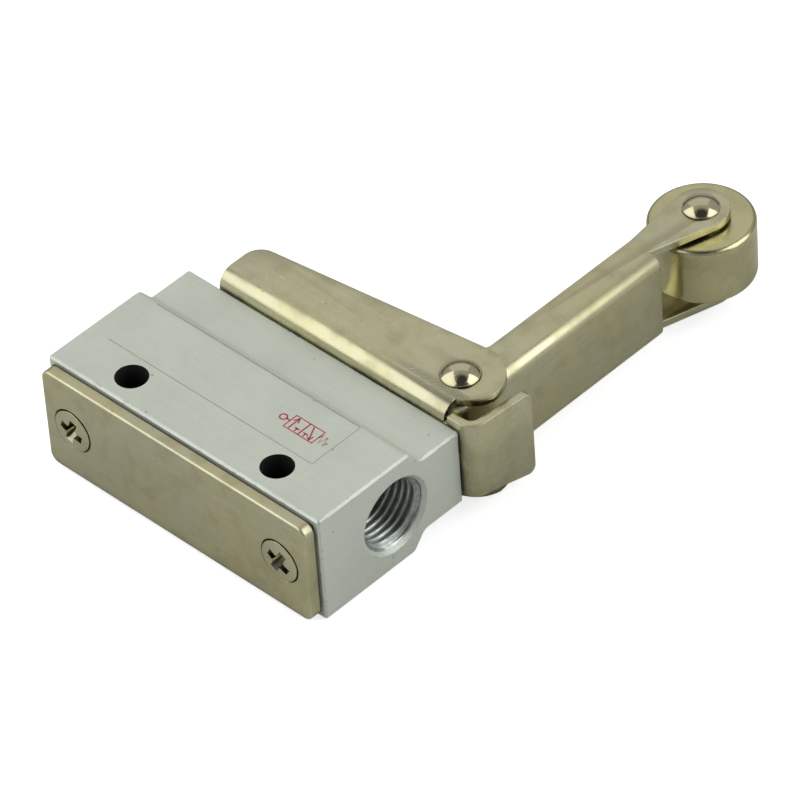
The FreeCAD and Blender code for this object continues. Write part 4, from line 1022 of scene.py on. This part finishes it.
class AIRVALVE_OT_cover(ValvePiece, bpy.types.Operator):
    """Finish the cover plate and its gasket"""

    bl_idname = "air_valve.cover"
    bl_label = "Cover plate"

    def execute(self, context):
        finishes = context.scene.air_valve.finishes
        plate = nickel_sheet(
            finishes, "nickel cover", (26.0, 900.0, 1500.0), (0.30, 0.42),
            rub=0.0, dull=0.75, shade_level=0.98, soft=0.05 * MM,
        )
        paint(plate, "cover_plate")
        paint(moulded_rubber(finishes.gasket, "gasket cork", 0.55), "cover_gasket")
        return {"FINISHED"}


class AIRVALVE_OT_screws(ValvePiece, bpy.types.Operator):
    """Make the four cross-recessed screws with their threads"""

    bl_idname = "air_valve.screws"
    bl_label = "Screws"

    def execute(self, context):
        settings = context.scene.air_valve
        sizes, finishes = settings.screws, settings.finishes
        metal = polished_nickel(finishes, "nickel screw", finishes.nickel_grey, (0.18, 0.30), 2.0 * MM)
        plate_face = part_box("cover_plate")[0].y
        web_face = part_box("bracket_screw_left")[1].y
        for name, outward, face, shaft, turn in (
            ("cover_screw_left", -1, plate_face, sizes.cover_shaft, sizes.left_turn),
            ("cover_screw_right", -1, plate_face, sizes.cover_shaft, sizes.right_turn),
            ("bracket_screw_left", 1, web_face, sizes.bracket_shaft, sizes.left_turn),
            ("bracket_screw_right", 1, web_face, sizes.bracket_shaft, sizes.right_turn),
        ):
            low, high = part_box(name)
            centre = (low + high) / 2
            head = (high.x - low.x) / 2
            crown, shank = (high.y, face - low.y) if outward > 0 else (low.y, high.y - face)
            mesh = screw_mesh(name, settings, head, shaft, shank, abs(crown - face), metal)
            mesh.transform(Matrix.Rotation(turn, 4, "Z"))
            mesh.transform(facing((0, outward, 0), (centre.x, face, centre.z)))
            piece_from(f"{name}_cut", mesh, "valve", "plated_fastener", name)
        return {"FINISHED"}


class AIRVALVE_OT_bracket(ValvePiece, bpy.types.Operator):
    """Round the pressed bracket's edges and finish it in nickel"""

    bl_idname = "air_valve.bracket"
    bl_label = "Bracket"

    def execute(self, context):
        finishes = context.scene.air_valve.finishes
        pressed(finishes, "bracket", "valve", (24.0, 1300.0, 1300.0), (0.21, 0.33), 0.95)
        return {"FINISHED"}


class AIRVALVE_OT_lever(ValvePiece, bpy.types.Operator):
    """Round the pressed lever's edges and finish it in nickel"""

    bl_idname = "air_valve.lever"
    bl_label = "Lever"

    def execute(self, context):
        finishes = context.scene.air_valve.finishes
        pressed(finishes, "lever", "lever", (1300.0, 24.0, 1300.0), (0.26, 0.38), 0.45)
        return {"FINISHED"}


class AIRVALVE_OT_rivets(ValvePiece, bpy.types.Operator):
    """Turn the pivot pin and the roller's rivet with their domed heads"""

    bl_idname = "air_valve.rivets"
    bl_label = "Rivets"

    def execute(self, context):
        settings = context.scene.air_valve
        sizes, finishes = settings.rivets, settings.finishes
        metal = polished_nickel(finishes, "polished rivet", finishes.polished, (0.07, 0.15), 1.0 * MM)

        low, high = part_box("pivot_pin")
        flush, pin, ring = (high.x - low.x) / 2, sizes.pivot_shank, sizes.setting_ring
        profile = [
            (0, low.z + ring), (flush * 0.42, low.z + ring), (flush * 0.50, low.z + HAIR),
            (flush * 0.94, low.z), (flush, low.z + HAIR), (pin, low.z + flush - pin), (pin, BLOCK_HIGH.z),
            *rivet_head(sizes, sizes.pivot_head, BLOCK_HIGH.z, high.z - BLOCK_HIGH.z),
        ]
        rivet("pivot_rivet", profile, PIVOT, "valve", "pivot_pin", metal)

        low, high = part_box("roller_pin")
        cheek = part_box("lever")[1].z
        head = rivet_head(sizes, (high.x - low.x) / 2, cheek, high.z - cheek)
        upper = [(sizes.roller_shank, cheek), *head]
        lower = [(radius, low.z + high.z - height) for radius, height in reversed(upper)]
        rivet("roller_rivet", lower + upper, ROLLER_CENTRE, "lever", "roller_pin", metal)
        return {"FINISHED"}


class AIRVALVE_OT_roller(ValvePiece, bpy.types.Operator):
    """Finish the roller and the washers beside it"""

    bl_idname = "air_valve.roller"
    bl_label = "Roller"

    def execute(self, context):
        finishes = context.scene.air_valve.finishes
        wheel = turned_metal(finishes, "nickel roller", finishes.nickel, ROLLER_CENTRE, rough=(0.20, 0.32))
        paint(wheel, "roller")
        washer = turned_metal(finishes, "nickel washer", finishes.nickel_grey, ROLLER_CENTRE, pitch=0.12 * MM)
        paint(washer, "roller_washer_upper", "roller_washer_lower")
        return {"FINISHED"}


class AIRVALVE_OT_spool_stack(ValvePiece, bpy.types.Operator):
    """Finish what the valve bore holds: bush, cages, seals, retainer, spool and plunger"""

    bl_idname = "air_valve.spool_stack"
    bl_label = "Spool and seals"

    def execute(self, context):
        finishes = context.scene.air_valve.finishes
        for name, base, rough, nodes in (
            ("turned brass", finishes.brass, (0.2, 0.34), ("guide_bush",)),
            (
                "turned aluminium", finishes.block_worn, (0.2, 0.34),
                ("inlet_cage", "outlet_cage", "seal_retainer"),
            ),
            ("ground spool", finishes.thread, (0.10, 0.18), ("spool",)),
            ("hard steel", finishes.steel, (0.10, 0.2), ("plunger",)),
        ):
            metal = turned_metal(finishes, name, base, BORE_CENTRE, axis="Y", pitch=0.12 * MM, rough=rough)
            paint(metal, *nodes)
        rubber = moulded_rubber(finishes.rubber, "seal rubber", 0.32)
        paint(rubber, "front_seal", "middle_seal", "rear_seal")
        return {"FINISHED"}


class AIRVALVE_OT_return_spring(ValvePiece, bpy.types.Operator):
    """Wind the return spring, which shortens as the plunger goes in"""

    bl_idname = "air_valve.return_spring"
    bl_label = "Return spring"

    def execute(self, context):
        settings = context.scene.air_valve
        sizes = settings.spring
        low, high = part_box("return_spring")
        reach = high.y - low.y
        mesh = grown(spring_tree(), "wound_spring", {
            "Radius": (high.x - low.x) / 2 - sizes.wire, "Wire Radius": sizes.wire, "Length": reach,
            "Coils": float(sizes.coils), "Closed Coils": sizes.closed_coils, "Steps": 40 * sizes.coils,
            "Material": drawn_wire(settings.finishes, "spring wire"),
        })
        mesh.transform(facing((0, 1, 0), (BORE_CENTRE.x, low.y, BORE_CENTRE.z)))
        shade(mesh, 50.0)
        spring = piece_from("wound_spring", mesh, "plunger", "spring_steel", "return_spring")
        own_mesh(spring)
        return {"FINISHED"}


class AIRVALVE_OT_stage(ValvePiece, bpy.types.Operator):
    """Set up the pale floor, the soft lights and the camera"""

    bl_idname = "air_valve.stage"
    bl_label = "Stage"

    def execute(self, context):
        stage = context.scene.air_valve.stage
        self.floor(stage)
        self.room(context.scene, stage)
        for name, direction, distance, size, power, tint in SOFTBOXES:
            self.softbox(name, Vector(direction).normalized() * distance, size, power, tint)
        self.camera(context.scene, stage)
        context.scene.view_settings.view_transform = "Standard"
        return {"FINISHED"}

    @staticmethod
    def floor(stage):
        """A large pale sheet under the valve."""
        half = stage.floor_size / 2
        mesh = bpy.data.meshes.new("floor")
        corners = [(-half, -half, 0), (half, -half, 0), (half, half, 0), (-half, half, 0)]
        mesh.from_pydata(corners, [], [(0, 1, 2, 3)])
        floor = placed("floor", mesh)
        floor.location.z = BLOCK_LOW.z - HAIR
        finish = Finish("pale floor", metallic=0.0)
        cloud = finish.noise(finish.point(), 30.0)
        finish.tone = finish.mix(finish.between(cloud, 0.3, 0.7, 0.0, 0.03), stage.floor, FLOOR_PATCH)
        inputs = finish.shader.inputs
        inputs["Emission Color"].default_value = WHITE
        plug(finish.tree, seen_by_camera(finish.tree) * stage.floor_glow, inputs["Emission Strength"])
        mesh.materials.append(finish.done(0.75))

    @staticmethod
    def room(scene, stage):
        """A pale room that is darker above, behind the camera and along its foot, and white to the camera."""
        world = bpy.data.worlds.new("studio")
        world.use_nodes = True
        tree = world.node_tree
        direction = add(tree, "ShaderNodeTexCoord").outputs["Generated"]
        overhead = measure(tree, "DOT_PRODUCT", direction, OVERHEAD)
        level = add(tree, "ShaderNodeSeparateXYZ", {0: direction}).outputs["Z"]
        parts = []
        for value, low, high in ((overhead, 0.93, 0.76), (level, 0.02, 0.34)):
            reach = {
                "Value": value, "From Min": low, "From Max": high,
                "To Min": stage.shade, "To Max": stage.surround,
            }
            part = add(tree, "ShaderNodeMapRange", reach, interpolation_type="SMOOTHSTEP")
            parts.append(part.outputs[0])
        strength = math_node(tree, "MINIMUM", *parts).by("MAXIMUM", seen_by_camera(tree))
        background = tree.nodes["Background"]
        background.inputs["Color"].default_value = WHITE
        plug(tree, strength, background.inputs["Strength"])
        scene.world = world

    @staticmethod
    def softbox(name, offset, size, power, tint):
        """One rectangular soft light that points at the valve."""
        lamp = bpy.data.lights.new(name, "AREA")
        lamp.shape = "RECTANGLE"
        lamp.size, lamp.size_y = size
        lamp.energy = power
        lamp.color = tint
        item = placed(name, lamp)
        item.location = AIM + offset
        item.rotation_mode = "QUATERNION"
        item.rotation_quaternion = (-offset).to_track_quat("-Z", "Y")
        item.visible_camera = False

    @staticmethod
    def camera(scene, stage):
        """The camera, turned a little about its line of sight."""
        camera = placed("camera", bpy.data.cameras.new("camera"))
        camera.data.sensor_width = 36.0
        camera.data.lens = stage.lens
        camera.data.clip_start, camera.data.clip_end = 0.05, 20.0
        sight = (AIM - CAMERA_PLACE).to_track_quat("-Z", "Y").to_matrix().to_4x4()
        camera.matrix_world = Matrix.Translation(CAMERA_PLACE) @ sight @ Matrix.Rotation(stage.roll, 4, "Z")
        scene.camera = camera


OPERATORS = (
    AIRVALVE_OT_block,
    AIRVALVE_OT_print,
    AIRVALVE_OT_port_threads,
    AIRVALVE_OT_cover,
    AIRVALVE_OT_screws,
    AIRVALVE_OT_bracket,
    AIRVALVE_OT_lever,
    AIRVALVE_OT_rivets,
    AIRVALVE_OT_roller,
    AIRVALVE_OT_spool_stack,
    AIRVALVE_OT_return_spring,
    AIRVALVE_OT_stage,
)


class AIRVALVE_PT_panel(bpy.types.Panel):
    """Lists the operators that dress the valve"""

    bl_label = "Air valve"
    bl_idname = "AIRVALVE_PT_panel"
    bl_space_type = "VIEW_3D"
    bl_region_type = "UI"
    bl_category = "Air valve"

    def draw(self, context):
        for operator in OPERATORS:
            self.layout.operator(operator.bl_idname)
        for group in ("threads", "screws", "rivets", "print_lines", "spring", "finishes", "stage"):
            sizes = getattr(context.scene.air_valve, group)
            box = self.layout.box()
            for name in sizes.bl_rna.properties.keys():
                if name not in ("rna_type", "name"):
                    box.prop(sizes, name)


GROUPS = (
    ThreadSizes, ScrewSizes, RivetSizes, PrintSizes, SpringSizes, Finishes, StageSizes, ValveSettings,
)


def register():
    """Adds the settings, the operators and the panel."""
    for item in (*GROUPS, *OPERATORS, AIRVALVE_PT_panel):
        bpy.utils.register_class(item)
    bpy.types.Scene.air_valve = bpy.props.PointerProperty(type=ValveSettings)


def unregister():
    """Takes the settings, the operators and the panel away."""
    del bpy.types.Scene.air_valve
    for item in reversed((*GROUPS, *OPERATORS, AIRVALVE_PT_panel)):
        bpy.utils.unregister_class(item)


def main():
    """Dresses the valve, one operator after another."""
    register()
    for operator in OPERATORS:
        group, name = operator.bl_idname.split(".")
        getattr(getattr(bpy.ops, group), name)()


if __name__ == "__main__":
    main()
